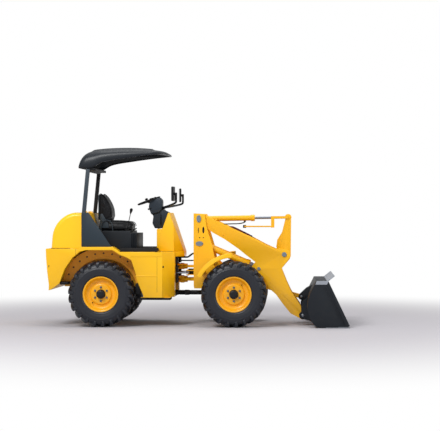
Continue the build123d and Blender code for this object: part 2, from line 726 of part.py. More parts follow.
save("canopy_posts", posts[0] + posts[1] + feet[0] + feet[1] + top_member + roof_plate)

# Canopy, a thin shell open below
canopy_z = post_top_z + roof_plate_height
canopy_top_shares = [
    (0.0, 0.027), (0.015, 0.282), (0.067, 0.718), (0.161, 0.937), (0.489, 1.0), (0.770, 0.917), (0.964, 0.718), (1.0, 0.635),
]
canopy_low_shares = [(0.834, 0.478), (0.605, 0.312), (0.389, 0.166), (0.295, 0.0), (0.086, 0.0)]
canopy_y = canopy_width / 2
canopy = slab(
    span(canopy_top_shares + canopy_low_shares, canopy_x, canopy_z, canopy_length, canopy_height), -canopy_y, canopy_y)
canopy_edges = [
    edge for edge in canopy.edges()
    if abs(abs(edge.center().Y) - canopy_y) < 1 and edge.center().Z > canopy_z + 0.70 * canopy_height
]
canopy = chamfer(canopy_edges, canopy_skin)
hollow_shares = [(0.030, -0.20), (0.040, 0.25), (0.085, 0.64), (0.170, 0.85), (0.480, 0.905), (0.740, 0.83), (0.834, 0.70), (0.834, 0.40), (0.389, -0.20)]
hollow = slab(
    span(hollow_shares, canopy_x, canopy_z, canopy_length, canopy_height), -canopy_y + 2 * canopy_skin, canopy_y - 2 * canopy_skin)
pad = block(
    foot_x + lean_run - post_size, foot_x + lean_run - post_size + roof_plate_length, -post_y, post_y,
    canopy_z, canopy_z + canopy_height * 0.80)
save("canopy_roof", canopy - (hollow - pad))

# Mirrors on bent arms
mirror_y = mirror_spacing / 2
mirror_z = deck_z + mirror_above_deck
mirror_x = cowl_rear_x + mirror_ahead
arm_radius = mirror_arm / 2
arm_start = (dash_x + dash_length, dash_width / 3, dash_z + 0.40 * dash_height)
arm_bend = (mirror_x + mirror_thickness, mirror_y, mirror_z - 0.60 * mirror_height)
arm_top = (mirror_x + mirror_thickness, mirror_y, mirror_z)
arm = bar(arm_start, arm_bend, arm_radius) + Pos(*arm_bend) * Sphere(arm_radius) + bar(arm_bend, arm_top, arm_radius)
glass = block(
    mirror_x - mirror_thickness / 2, mirror_x + mirror_thickness / 2, mirror_y - mirror_width / 2, mirror_y + mirror_width / 2,
    mirror_z - mirror_height / 2, mirror_z + mirror_height / 2)
glass = fillet(glass.edges().filter_by(Axis.X), 1.5 * plate)
boss = bar((mirror_x, mirror_y, mirror_z), arm_top, arm_radius)
save("mirrors", *both((arm + glass + boss + Pos(*arm_top) * Sphere(arm_radius)) - pod - shroud))

# Hoses that meet on the steering pivot
hose_radius = hose_diameter / 2
hose_gap = hose_radius + hose_play
rear_hoses, front_hoses = [], []
for hose_z in (deck_low_z - 2 * hose_radius, deck_low_z - 6 * hose_radius):
    rear_hoses.append(bar((rear_plate_x, 0, hose_z), (pivot_x - hose_gap, 0, hose_z), hose_radius))
    front_hoses.append(bar((pivot_x + hose_gap, 0, hose_z), (tower_rear_x, 0, hose_z), hose_radius))
hose_stand = block(rear_plate_x - plate, rear_plate_x, -2 * plate, 2 * plate, rail_top_z, deck_low_z)
save("rear_hoses", *rear_hoses, hose_stand)
save("front_hoses", *front_hoses)

# Front frame: tower plates, web, lower box and the pivot ears
tower_shares = [
    (0.0, 1.0), (0.211, 0.993), (0.252, 0.812), (0.356, 0.571), (0.404, 0.405), (0.539, 0.302), (0.959, 0.226),
    (1.0, 0.113), (0.905, 0.038), (0.634, 0.019), (0.145, 0.0), (0.009, 0.0), (0.009, 0.143), (0.0, 0.196),
]
tower_inner_y = tower_outer_y - plate
tower_plate = slab(
    span(tower_shares, tower_rear_x, tower_bottom_z, tower_length, tower_height), tower_inner_y, tower_outer_y)
frame = tower_plate + mirror(tower_plate, about=Plane.XZ)
web_top_z = tower_bottom_z + tower_web_height
frame += block(tower_rear_x, tower_rear_x + plate, -tower_inner_y, tower_inner_y, tower_bottom_z + plate, web_top_z)
frame += block(tower_rear_x, tower_rear_x + tower_length * 0.90, -tower_inner_y, tower_inner_y, tower_bottom_z + plate, tower_bottom_z + 3 * plate)
frame += block(
    tower_rear_x + plate, tower_rear_x + tower_length * 0.50, -tower_inner_y, tower_inner_y,
    tower_bottom_z + tower_height * 0.26, tower_bottom_z + tower_height * 0.26 + plate)
bulb_hole = bulb_diameter / 2 + plate
frame -= block(
    front_axle_x - bulb_hole, front_axle_x + bulb_hole, -bulb_width / 2 - plate, bulb_width / 2 + plate,
    tower_bottom_z - plate, tower_bottom_z + 4 * plate)
lug_inner_y = lift_y - lift_bore_diameter / 2 - side_gap - ear_thickness
lug_shape = [
    (tower_rear_x + plate, lift_base_z - 4 * plate), (tower_rear_x + plate, lift_base_z + 3 * plate),
    (lift_base_x + plate, lift_base_z + 2 * plate), (lift_base_x + 2 * plate, lift_base_z - plate),
]
lugs = both(slab(lug_shape, lug_inner_y, lug_inner_y + ear_thickness))
frame += lugs[0] + lugs[1]
boom_pivot = (boom_pivot_x, boom_pivot_z)
bucket_pin = (bucket_pin_x, bucket_pin_z)
frame += pin_y(*boom_pivot, pin_radius, -tower_outer_y - sheet, tower_outer_y + sheet)
lift_pin_radius = pin_radius * 0.7
lift_pins = both(pin_y(lift_base_x, lift_base_z, lift_pin_radius, lug_inner_y - sheet, tower_outer_y + sheet))
frame += lift_pins[0] + lift_pins[1]
for eye_z, eye in ((upper_ear_z, ear_eye_upper), (lower_ear_z, ear_eye_lower)):
    ear = plan([
        (pivot_x, ear_radius), (tower_rear_x + plate / 2, 2 * ear_radius), (tower_rear_x + plate / 2, -2 * ear_radius),
        (pivot_x, -ear_radius)], eye_z - eye / 2, eye_z + eye / 2)
    frame += ear + pin_z(pivot_x, 0, ear_radius, eye_z - eye / 2, eye_z + eye / 2)
    frame -= pin_z(pivot_x, 0, pin_radius_z + run_gap / 6, eye_z - eye, eye_z + eye)
for side_sign in (1, -1):
    eye_x, eye_y = pivot_x + steer_front_reach, side_sign * steer_front_y
    for low in (steer_z - steer_eye_width / 2 - 2 * side_gap - sheet, steer_z + steer_eye_width / 2 + 2 * side_gap):
        frame += block(
            eye_x, tower_rear_x + plate / 2, eye_y - steer_eye_radius, eye_y + steer_eye_radius, low, low + sheet)
        frame += pin_z(eye_x, eye_y, steer_eye_radius, low, low + sheet)
    reach = steer_eye_width / 2 + 2 * side_gap
    frame += pin_z(eye_x, eye_y, sheet, steer_z + reach, steer_z + reach + 2 * sheet)
    frame += pin_z(eye_x, eye_y, sheet, steer_z - reach - 2 * sheet, steer_z - reach)
save("front_frame", frame)

# Front fenders with their brackets
def fender_arc(radius, count):
    step = (fender_end - fender_start) / count
    angles = [fender_start + step * index for index in range(count + 1)]
    return [(front_axle_x + radius * cos(radians(a)), axle_z + radius * sin(radians(a))) for a in angles]


fender_steps = 8
outer_arc = fender_arc(fender_radius, fender_steps)
fender_y = fender_inner_y + fender_width
fender = slab(outer_arc + fender_arc(fender_radius - fender_sheet, fender_steps)[::-1], fender_inner_y, fender_y)
fender += slab(
    outer_arc + fender_arc(fender_radius - fender_flange, fender_steps)[::-1], fender_y - fender_sheet, fender_y)
low_point = fender_arc(fender_radius - fender_sheet, fender_steps)[-2]
high_point = fender_arc(fender_radius - fender_sheet, fender_steps)[fender_steps // 2]
for spot in (low_point, high_point):
    fender += block(
        spot[0] - sheet, spot[0] + 2 * plate, tower_outer_y, fender_inner_y + 2 * plate, spot[1] - 2 * plate, spot[1]) & slab(
        [(front_axle_x, axle_z)] + outer_arc, tower_outer_y, fender_y)
save("fenders", *both(fender))

# Lift arms
arm_top_shares = [
    (-0.0189, 0.0234), (0.0110, 0.0484), (0.0339, 0.0532), (0.080, 0.0673), (0.1763, 0.0986), (0.3539, 0.1569), (0.4664, 0.1862), (0.5442, 0.2119),
    (0.5617, 0.2349), (0.6141, 0.2665), (0.6555, 0.2476), (0.6652, 0.1394), (0.7579, 0.0952), (0.8285, 0.0660), (0.9397, 0.0401),
    (0.9768, 0.0192),
]
arm_low_shares = [
    (0.9996, -0.0304), (0.9270, -0.0499), (0.8472, -0.0380), (0.7623, -0.0213), (0.6950, -0.0230), (0.6376, 0.0015), (0.6008, 0.0089),
    (0.5598, 0.0016), (0.5293, -0.0096), (0.5031, 0.0062), (0.50, 0.0470), (0.4170, 0.0389), (0.3518, 0.0350),
    (0.2284, 0.0174), (0.2027, 0.0106), (0.1370, -0.0052), (0.0415, -0.0151), (0.0182, -0.0240),
]
arm_outline = [along(boom_pivot, bucket_pin, *share) for share in arm_top_shares + arm_low_shares]
arm_outer_y = arm_inner_y + arm_thickness
lift_pin = along(boom_pivot, bucket_pin, 0.5499, 0.0299)
lever_pin = along(boom_pivot, bucket_pin, 0.6133, 0.2248)
lever_top_pin = along(boom_pivot, bucket_pin, 0.4555, 0.4363)
lever_low_pin = along(boom_pivot, bucket_pin, 0.6538, -0.0476)
tube_place = along(boom_pivot, bucket_pin, 0.4063, 0.1012)
arm_solid = slab(arm_outline, arm_inner_y, arm_outer_y)
arm_solid += pin_y(*boom_pivot, arm_eye_radius, arm_inner_y, arm_outer_y)
arm_solid += pin_y(*bucket_pin, arm_eye_radius, arm_inner_y, arm_outer_y)
arm_solid -= pin_y(*boom_pivot, pin_radius + run_gap, arm_inner_y - sheet, arm_outer_y + sheet)
bucket_pin_radius = pin_radius * 0.75
arm_solid -= pin_y(*bucket_pin, bucket_pin_radius + run_gap, arm_inner_y - sheet, arm_outer_y + sheet)
arm_solid += pin_y(*lift_pin, lift_pin_radius, arm_outer_y, arm_outer_y + sheet)
arm_solid += pin_y(*lever_pin, pin_radius, arm_outer_y, arm_outer_y + sheet)
arms = both(arm_solid)
lever_shaft_radius = pin_radius
tube = pin_y(*tube_place, boom_tube_radius, -arm_inner_y, arm_inner_y)
shaft = pin_y(*lever_pin, lever_shaft_radius, -arm_inner_y, arm_inner_y)
save("boom", arms[0] + arms[1] + tube + shaft)

# Bellcrank: two plates on a hub
lever_shares = [
    (0.030, 0.952), (-0.061, 0.592), (-0.192, 0.383), (-0.217, 0.198), (-0.118, -0.029), (-0.655, -0.796),
    (-0.530, -0.933), (0.149, -0.133), (0.177, -0.046), (0.187, 0.952),
]
lever_reach = hypot(lever_top_pin[0] - lever_pin[0], lever_top_pin[1] - lever_pin[1])
lever_in = link_width / 2 + side_gap
lever_out = lever_in + lever_plate
lever = slab(span(lever_shares, *lever_pin, lever_reach, lever_reach), lever_in, lever_out)
lever += pin_y(*lever_top_pin, tilt_eye_radius + sheet, lever_in, lever_out)
lever += pin_y(*lever_low_pin, link_height / 2 + sheet, lever_in, lever_out)
lever += pin_y(*lever_top_pin, lift_pin_radius, lever_out, lever_out + sheet)
lever += pin_y(*lever_low_pin, lift_pin_radius, lever_out, lever_out + sheet)
hub = pin_y(*lever_pin, lever_radius, -lever_out - plate, lever_out + plate)
bellcrank = lever + mirror(lever, about=Plane.XZ) + hub
bellcrank -= pin_y(*lever_pin, lever_shaft_radius + run_gap, -lever_out - 2 * plate, lever_out + 2 * plate)
save("bellcrank", bellcrank)

# Bucket link
link_pin = (bucket_pin_x + link_pin_dx, bucket_pin_z + link_pin_dz)
link_y = link_width / 2
link_half = link_height / 2
link_run = (link_pin[0] - lever_low_pin[0], link_pin[1] - lever_low_pin[1])
link_long = hypot(*link_run)
side_step = (-link_run[1] / link_long * link_half * 0.8, link_run[0] / link_long * link_half * 0.8)
link = slab([
    (lever_low_pin[0] + side_step[0], lever_low_pin[1] + side_step[1]), (link_pin[0] + side_step[0], link_pin[1] + side_step[1]),
    (link_pin[0] - side_step[0], link_pin[1] - side_step[1]), (lever_low_pin[0] - side_step[0], lever_low_pin[1] - side_step[1]),
], -link_y, link_y)
link += pin_y(*lever_low_pin, link_half, -link_y, link_y) + pin_y(*link_pin, link_half, -link_y, link_y)
link -= pin_y(*link_pin, lift_pin_radius + run_gap, -link_y - sheet, link_y + sheet)
save("bucket_link", link)


# Cylinders: barrel from its base eye, rod to its rod eye
def cylinder(base, tip, y, barrel_length, bore, rod, eye_radius, eye_width, base_pin, retract):
    run = (tip[0] - base[0], tip[1] - base[1])
    length = hypot(*run)
    unit = (run[0] / length, run[1] / length)

    def at(reach):
        return (base[0] + reach * unit[0], y, base[1] + reach * unit[1])

    barrel = bar(at(eye_radius * 0.8), at(barrel_length), bore / 2)
    barrel += bar(at(barrel_length - bore / 2), at(barrel_length), bore / 2 + sheet / 2)
    barrel -= bar(at(bore), at(barrel_length + overrun), rod / 2 + run_gap)
    barrel += pin_y(*base, eye_radius, y - eye_width / 2, y + eye_width / 2)
    barrel -= pin_y(*base, base_pin + run_gap, y - eye_width, y + eye_width)
    piston = bar(at(1.5 * bore + retract), at(length - eye_radius / 2), rod / 2)
    piston += pin_y(*tip, eye_radius, y - eye_width / 2, y + eye_width / 2)
    return barrel, piston


tilt_barrel, tilt_rod = cylinder(
    boom_pivot, lever_top_pin, 0, tilt_barrel_length, tilt_bore_diameter, tilt_rod_diameter, tilt_eye_radius * 1.25,
    tilt_eye_width, pin_radius, tilt_retract)
save("tilt_barrel", tilt_barrel)
save("tilt_rod", tilt_rod)
lift_base = (lift_base_x, lift_base_z)
lift_barrel, lift_rod = cylinder(
    lift_base, lift_pin, lift_y, lift_barrel_length, lift_bore_diameter, lift_rod_diameter, lift_eye_radius,
    lift_eye_width, lift_pin_radius, 0)
save("lift_barrels", *both(lift_barrel))
save("lift_rods", *both(lift_rod))

# Level indicator, hung from the rod's eye pin beside the near lever plate
indicator_y = -lever_out - sheet
bar_half = 17.0
indicator_drop = 130.0
indicator_reach = 245.0
indicator_leg = 48.0
pointer_reach = 626.0
ind_x, ind_z = lever_top_pin
indicator = block(ind_x - indicator_reach, ind_x, indicator_y - sheet, indicator_y, ind_z - bar_half, ind_z + bar_half)
indicator += block(
    ind_x - indicator_reach, ind_x - indicator_reach + indicator_leg, indicator_y - sheet, indicator_y,
    ind_z - indicator_drop - bar_half, ind_z)
indicator += bar(
    (ind_x - pointer_reach, indicator_y - sheet / 2, ind_z - indicator_drop),
    (ind_x - indicator_reach + indicator_leg / 2, indicator_y - sheet / 2, ind_z - indicator_drop), sheet)
save("level_indicator", indicator)

# Steering cylinders
for side_name, side_sign in (("left", 1), ("right", -1)):
    base_place = (pivot_x - steer_rear_reach, side_sign * steer_rear_y)
    tip_place = (pivot_x + steer_front_reach, side_sign * steer_front_y)
    run = (tip_place[0] - base_place[0], tip_place[1] - base_place[1])
    length = hypot(*run)

    def reach_at(reach):
        return (base_place[0] + reach * run[0] / length, base_place[1] + reach * run[1] / length, steer_z)

    neck = bar(reach_at(0.7 * steer_eye_radius), reach_at(steer_bore_diameter), steer_eye_width / 2)
    barrel = bar(reach_at(steer_eye_radius + side_gap), reach_at(steer_barrel_length), steer_bore_diameter / 2) + neck
    barrel -= bar(reach_at(1.3 * steer_bore_diameter), reach_at(steer_barrel_length + overrun), steer_rod_diameter / 2 + run_gap)
    eye_half = steer_eye_width / 2
    barrel += pin_z(*base_place, steer_eye_radius, steer_z - eye_half, steer_z + eye_half)
    barrel -= pin_z(*base_place, sheet + run_gap, steer_z - 2 * eye_half, steer_z + 2 * eye_half)
    save(f"steer_barrel_{side_name}", barrel)
    rod = bar(reach_at(steer_rod_start), reach_at(length - steer_eye_radius / 2), steer_rod_diameter / 2)
    rod += pin_z(*tip_place, steer_eye_radius, steer_z - eye_half, steer_z + eye_half)
    save(f"steer_rod_{side_name}", rod)

# Bucket: shell, side plates, lip and ears
half_bucket = bucket_width / 2
shell_y = half_bucket - side_strip


def bucket_face(inset, mouth_extra):
    def at(share_x, share_z):
        return (bucket_back_x + share_x * bucket_depth, share_z * bucket_height)

    top_rear = (at(0.202, 1.0)[0] + 0.6 * inset, at(0.202, 1.0)[1] - inset)
    belly = (at(0.0, 0.436)[0] + inset, at(0.0, 0.436)[1])
    heel = (at(0.383, 0.0)[0], inset)
    low_belly = (at(0.100, 0.118)[0] + 0.7 * inset, at(0.100, 0.118)[1] + 0.7 * inset)
    high_belly = (at(0.070, 0.760)[0] + inset, at(0.070, 0.760)[1])
    tip = (bucket_back_x + bucket_depth + mouth_extra, inset)
    top_front = (at(0.491, 1.0)[0] + mouth_extra, at(0.491, 1.0)[1] - inset)
    return make_face(Curve() + [
        Line(top_rear, high_belly), ThreePointArc(high_belly, belly, low_belly), TangentArc(low_belly, heel, tangent=(0.62, -0.78)),
        Line(heel, tip), Line(tip, top_front), Line(top_front, top_rear)])


def across(face, half):
    return Pos(0, half, 0) * Rot(90, 0, 0) * extrude(face, 2 * half, dir=(0, 0, 1))


shell = across(bucket_face(0, 0), shell_y)
shell -= across(bucket_face(bucket_wall, bucket_depth), shell_y - bucket_wall)
tip_x = bucket_back_x + bucket_depth
edge_start = tip_x - edge_length
shell -= block(edge_start, tip_x + overrun, -half_bucket - overrun, half_bucket + overrun, -overrun, edge_thickness)
mouth_top = (bucket_back_x + 0.491 * bucket_depth, bucket_height)
lip_run = (lip_length * cos(radians(lip_angle)), lip_length * sin(radians(lip_angle)))
lip = slab([
    (mouth_top[0] - bucket_wall, mouth_top[1] - bucket_wall), (mouth_top[0] + lip_run[0], mouth_top[1] + lip_run[1] - bucket_wall),
    (mouth_top[0] + lip_run[0] - bucket_wall / 2, mouth_top[1] + lip_run[1]), (mouth_top[0] - 1.5 * bucket_wall, mouth_top[1]),
], -shell_y, shell_y)
slope = (tip_x - mouth_top[0]) / bucket_height
strip = slab([
    mouth_top, (tip_x - edge_thickness * slope, edge_thickness), (tip_x - edge_thickness * slope - side_strip_width, edge_thickness),
    (mouth_top[0] - side_strip_width, bucket_height)], shell_y, half_bucket)
bucket = shell + lip + strip + mirror(strip, about=Plane.XZ)
ear_low = [
    (bucket_pin_x, bucket_pin_z - arm_eye_radius * 0.9), (bucket_back_x + 0.30 * bucket_depth, 0.060 * bucket_height),
    (bucket_back_x + 0.12 * bucket_depth, 0.62 * bucket_height), (bucket_back_x + 0.03 * bucket_depth, 0.56 * bucket_height),
    (bucket_pin_x - arm_eye_radius * 0.3, bucket_pin_z + arm_eye_radius * 1.25),
]
ear_high = [
    (link_pin[0], link_pin[1] - link_half * 1.2), (bucket_back_x + 0.06 * bucket_depth, link_pin[1] - 1.6 * link_half),
    (bucket_back_x + 0.16 * bucket_depth, 0.88 * bucket_height), (bucket_back_x - 0.01 * bucket_depth, 0.80 * bucket_height),
    (link_pin[0] - link_half * 0.8, link_pin[1] + link_half * 0.9),
]
inside = across(bucket_face(bucket_wall / 2, bucket_depth), shell_y)
ear_gap = 2 * side_gap
for start in (arm_inner_y - ear_gap - ear_plate, arm_outer_y + ear_gap):
    ear = slab(ear_low, start, start + ear_plate) + pin_y(*bucket_pin, arm_eye_radius * 0.9, start, start + ear_plate)
    ear = ear - inside
    bucket += ear + mirror(ear, about=Plane.XZ)
pin_reach = (arm_inner_y - ear_gap - ear_plate, arm_outer_y + ear_gap + ear_plate)
bucket_pins = both(pin_y(*bucket_pin, bucket_pin_radius, *pin_reach))
ear_start = link_y + ear_gap
ear = slab(ear_high, ear_start, ear_start + ear_plate) + pin_y(*link_pin, link_half * 1.25, ear_start, ear_start + ear_plate)
ear = ear - inside
bucket += ear + mirror(ear, about=Plane.XZ) + bucket_pins[0] + bucket_pins[1]
bucket += pin_y(*link_pin, lift_pin_radius, -ear_start - ear_plate, ear_start + ear_plate)
save("bucket", bucket)
edge_tip = edge_thickness / 4
cutting_edge = slab([
    (edge_start, 0), (tip_x, 0), (tip_x, edge_tip), (tip_x - 2 * edge_thickness, edge_thickness), (edge_start, edge_thickness),
], -half_bucket, half_bucket)
save("cutting_edge", cutting_edge)
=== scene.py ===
# %% [markdown]
# # A compact wheel loader
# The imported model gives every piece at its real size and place. This script adds
# what paint, rubber, vinyl and wear look like, and the small things that the
# solids leave out. Nothing here moves or resizes a solid.

# %% Load the frame
import json
import math

import bmesh
import bpy
from mathutils import Matrix, Vector


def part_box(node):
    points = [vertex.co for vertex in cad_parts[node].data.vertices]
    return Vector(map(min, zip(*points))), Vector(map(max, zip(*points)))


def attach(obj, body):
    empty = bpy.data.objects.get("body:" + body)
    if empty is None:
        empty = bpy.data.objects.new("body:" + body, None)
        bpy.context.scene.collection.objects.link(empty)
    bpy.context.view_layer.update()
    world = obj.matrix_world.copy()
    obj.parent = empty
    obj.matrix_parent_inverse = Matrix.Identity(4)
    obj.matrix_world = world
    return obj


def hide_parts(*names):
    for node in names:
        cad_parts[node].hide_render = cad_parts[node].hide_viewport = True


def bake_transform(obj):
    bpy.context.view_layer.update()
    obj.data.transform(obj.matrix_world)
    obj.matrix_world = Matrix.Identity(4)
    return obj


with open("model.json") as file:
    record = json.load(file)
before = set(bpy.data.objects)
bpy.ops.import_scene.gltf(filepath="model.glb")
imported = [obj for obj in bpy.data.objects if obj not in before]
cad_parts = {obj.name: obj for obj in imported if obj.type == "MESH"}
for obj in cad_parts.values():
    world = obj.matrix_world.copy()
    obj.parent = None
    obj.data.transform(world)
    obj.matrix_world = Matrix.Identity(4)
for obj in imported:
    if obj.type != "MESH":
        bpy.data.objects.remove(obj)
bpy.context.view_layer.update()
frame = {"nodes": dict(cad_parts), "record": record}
nodes = frame["nodes"]
bodies = frame["record"]["behaviour"]["bodies"]
node_body = {node: body for body, held in bodies.items() for node in held}

# %% [markdown]
# ## Camera
# The photograph was taken with a long lens from the right-hand side. A point
# straight ahead of the lens lies a little right of the middle, so the camera
# is turned a few degrees towards the rear of the machine.


# %% Camera
def linked(name, data):
    obj = bpy.data.objects.new(name, data)
    bpy.context.collection.objects.link(obj)
    return obj


camera_data = bpy.data.cameras.new("camera")
photo_width, focal_pixels = 440, 1443
camera_data.sensor_width = 36.0
camera_data.lens = camera_data.sensor_width * focal_pixels / photo_width
camera = linked("camera", camera_data)
camera.location = (1.223, -20.72, 1.515)
camera.rotation_euler = (math.radians(90.1), 0, math.radians(2.58))
bpy.context.scene.camera = camera
print("lens", round(camera_data.lens, 1))

# %% [markdown]
# ## Colours and nodes
# One function turns the hex colours of a paint chart into linear light, and one
# adds a node with its settings and links.


# %% Colour and node helpers
def colour(code, alpha=1.0):
    parts = [int(code[i:i + 2], 16) / 255 for i in (1, 3, 5)]
    line = [c / 12.92 if c <= 0.04045 else ((c + 0.055) / 1.055) ** 2.4 for c in parts]
    return (*line, alpha)


def add(tree, kind, links=None, **settings):
    node = tree.nodes.new(kind)
    for name, value in settings.items():
        setattr(node, name, value)
    for socket, source in (links or {}).items():
        if isinstance(source, bpy.types.NodeSocket):
            tree.links.new(source, node.inputs[socket])
        else:
            node.inputs[socket].default_value = source
    return node


def blank(name):
    material = bpy.data.materials.new(name)
    material.use_nodes = True
    material.node_tree.nodes.clear()
    return material, material.node_tree


def noise(tree, place, scale, detail, **more):
    return add(
        tree, "ShaderNodeTexNoise", {"Vector": place, "Scale": scale, "Detail": detail, **more}
    ).outputs["Fac"]


def remapped(tree, value, low, high):
    return add(tree, "ShaderNodeMapRange", {"Value": value, "To Min": low, "To Max": high}).outputs[0]


def times(tree, value, factor):
    return add(tree, "ShaderNodeMath", {0: value, 1: factor}, operation="MULTIPLY").outputs[0]


def blended(tree, factor, first, second):
    return add(
        tree, "ShaderNodeMix", {"Factor": factor, "A": first, "B": second}, data_type="RGBA"
    ).outputs["Result"]


def surface(tree, height, strength, distance, **look):
    bump = add(tree, "ShaderNodeBump", {"Height": height, "Strength": strength, "Distance": distance})
    sockets = {name.replace("_", " "): value for name, value in look.items()}
    shader = add(tree, "ShaderNodeBsdfPrincipled", {**sockets, "Normal": bump.outputs[0]})
    add(tree, "ShaderNodeOutputMaterial", {"Surface": shader.outputs[0]})


print("yellow in linear light", colour("#FBC107"))

# %% [markdown]
# ## Floor and light
# A pale floor fades to white away from the machine, as a studio sweep does. A
# wide soft lamp hangs above on the camera's side, a second one fills the front,
# a third hangs overhead, and the white surroundings light the shaded side.

# %% Floor and light
floor_mesh = bpy.data.meshes.new("floor")
side, near, far = 60, -30, 60
floor_mesh.from_pydata(
    [(-side, near, 0), (side, near, 0), (side, far, 0), (-side, far, 0)], [], [(0, 1, 2, 3)])
floor = linked("floor", floor_mesh)
floor_paint, tree = blank("floor_paint")
fade_start, fade_end = 2.8, 8.5
place = add(tree, "ShaderNodeTexCoord").outputs["Object"]
reach = add(tree, "ShaderNodeVectorMath", {0: place}, operation="LENGTH")
fade = add(
    tree, "ShaderNodeMapRange",
    {"Value": reach.outputs["Value"], "From Min": fade_start, "From Max": fade_end},
    interpolation_type="SMOOTHSTEP")
shade = add(tree, "ShaderNodeBsdfPrincipled", {"Base Color": colour("#B9B6BB"), "Roughness": 0.85})
glow = add(tree, "ShaderNodeEmission", {"Color": (1, 1, 1, 1), "Strength": 1.0})
sweep = add(tree, "ShaderNodeMixShader", {0: fade.outputs[0], 1: shade.outputs[0], 2: glow.outputs[0]})
add(tree, "ShaderNodeOutputMaterial", {"Surface": sweep.outputs[0]})
floor_mesh.materials.append(floor_paint)

world = bpy.data.worlds.new("studio")
bpy.context.scene.world = world
world.use_nodes = True
world.node_tree.nodes.clear()
ray = add(world.node_tree, "ShaderNodeLightPath")
power = add(
    world.node_tree, "ShaderNodeMapRange",
    {"Value": ray.outputs["Is Camera Ray"], "To Min": 0.5, "To Max": 1.0})
sky = add(
    world.node_tree, "ShaderNodeBackground", {"Color": (1, 1, 1, 1), "Strength": power.outputs[0]})
add(world.node_tree, "ShaderNodeOutputWorld", {"Surface": sky.outputs[0]})
for name, spot, aim, size, watts in (
    ("key", (-4.5, -9.0, 9.5), (0.0, 0.0, 0.8), 4.0, 1010),
    ("front", (8.0, -4.0, 5.0), (1.0, 0.0, 0.6), 4.0, 200),
    ("top", (0.0, 1.0, 8.0), (0.0, 0.0, 0.0), 6.0, 260),
):
    lamp_data = bpy.data.lights.new(name, "AREA")
    lamp_data.size = size
    lamp_data.energy = watts
    lamp = linked(name, lamp_data)
    lamp.location = spot
    lamp.rotation_euler = (Vector(aim) - Vector(spot)).to_track_quat("-Z", "Y").to_euler()
bpy.context.scene.view_settings.view_transform = "Standard"

# %% [markdown]
# ## Yellow enamel
# Machine enamel is a thick gloss coat on steel. It shows soft reflections, a
# faint orange peel of a few millimetres, slow shifts of colour, and dust that
# gathers low down. The orange peel is drawn 6 mm wide so that it shows.


# %% Yellow enamel
def enamel(name, main, shade_tone, rough=0.34, dust=0.25, peel=0.04, dirt="#A08A68", specular=0.4):
    material, tree = blank(name)
    place = add(tree, "ShaderNodeTexCoord").outputs["Object"]
    slow = noise(tree, place, 1.7, 3.0)
    base = blended(tree, slow, colour(main), colour(shade_tone))
    height = add(tree, "ShaderNodeSeparateXYZ", {0: place}).outputs["Z"]
    low = add(
        tree, "ShaderNodeMapRange", {"Value": height, "From Min": 0.9, "From Max": 0.1}).outputs[0]
    grime = noise(tree, place, 14.0, 6.0, Roughness=0.65)
    spots = add(
        tree, "ShaderNodeMapRange", {"Value": grime, "From Min": 0.35, "From Max": 0.8}).outputs[0]
    final = blended(tree, times(tree, times(tree, low, spots), dust), base, colour(dirt))
    surface(tree, noise(tree, place, 160.0, 2.0), peel, 0.002, Base_Color=final,
            Roughness=remapped(tree, grime, rough - 0.05, rough + 0.12), Coat_Weight=0.12,
            Coat_Roughness=0.15, Specular_IOR_Level=specular)
    return material


body_enamel = enamel("body_enamel", "#FBC107", "#F4B805")
hood_enamel = enamel("hood_enamel", "#FDCA10", "#F9C30C", dust=0.1)
frame_enamel = enamel("frame_enamel", "#F7BA05", "#F0AF04", dust=0.35)
rim_enamel = enamel("rim_enamel", "#FAB406", "#F4AA04", dust=0.2)
black_enamel = enamel(
    "black_enamel", "#0C0D10", "#121317", rough=0.5, dust=0.3, dirt="#403C38", specular=0.25)
# Light grey on the bucket's lip and top guard: painted highlight where they catch the light.
lip_highlight_enamel = enamel("lip_highlight_enamel", "#9CA2AC", "#8A9099", rough=0.5, dust=0.1)
post_enamel = enamel("post_enamel", "#3A444D", "#2F3840", rough=0.4, dust=0.1, specular=0.3)
bucket_enamel = enamel(
    "bucket_enamel", "#161B21", "#1B2128", rough=0.5, dust=0.2, dirt="#35322F", specular=0.22)

# %% [markdown]
# ## Moulded plastics, rubber and vinyl
# The covers and canopy are moulded with a fine grain, which is drawn 4 mm wide
# so that it shows. Tyre rubber is matt, and the bluish tint of its colours is
# painted sheen. The seat is black vinyl with a leather-like grain.


# %% Plastics, rubber and vinyl
def moulded(
    name, main, rough, grain_mm, depth, specular=0.25, sheen=0.0, mottled="#000000", mottle=0.0):
    material, tree = blank(name)
    place = add(tree, "ShaderNodeTexCoord").outputs["Object"]
    wide = noise(tree, place, 5.0, 5.0)
    base = blended(tree, times(tree, wide, mottle), colour(main), colour(mottled))
    surface(tree, noise(tree, place, 1000.0 / grain_mm, 2.0), depth, 0.001 * grain_mm, Base_Color=base,
            Roughness=remapped(tree, wide, rough * 0.85, rough * 1.15), Specular_IOR_Level=specular,
            Sheen_Weight=sheen)
    return material


# The bluish tint of both tyre tones is painted sheen; the blotches between them fall at random.
tyre_rubber = moulded(
    "tyre_rubber", "#10141D", 0.42, 6.0, 0.2, specular=0.5, mottled="#262A34", mottle=0.5)
cover_plastic = moulded("cover_plastic", "#28333C", 0.5, 4.0, 0.15)
base_plastic = moulded("base_plastic", "#171C22", 0.5, 4.0, 0.15)
roof_plastic = moulded("roof_plastic", "#151B22", 0.38, 6.0, 0.06, specular=0.35)
# Black for seams and trim; in the slots and small holes it is painted shade.
black_trim_and_shade = moulded("black_trim_and_shade", "#0E0F12", 0.6, 4.0, 0.1)
dash_plastic = moulded("dash_plastic", "#27303A", 0.42, 4.0, 0.15)
grip_plastic = moulded("grip_plastic", "#0D0E11", 0.4, 4.0, 0.1)
mat_rubber = moulded("mat_rubber", "#131418", 0.8, 8.0, 0.5, mottled="#4B453E", mottle=0.3)
hose_rubber = moulded("hose_rubber", "#0D0E10", 0.5, 3.0, 0.2)
seat_vinyl = moulded("seat_vinyl", "#0D0E12", 0.45, 5.0, 0.35)
mirror_shell = moulded("mirror_shell", "#121317", 0.35, 4.0, 0.08)
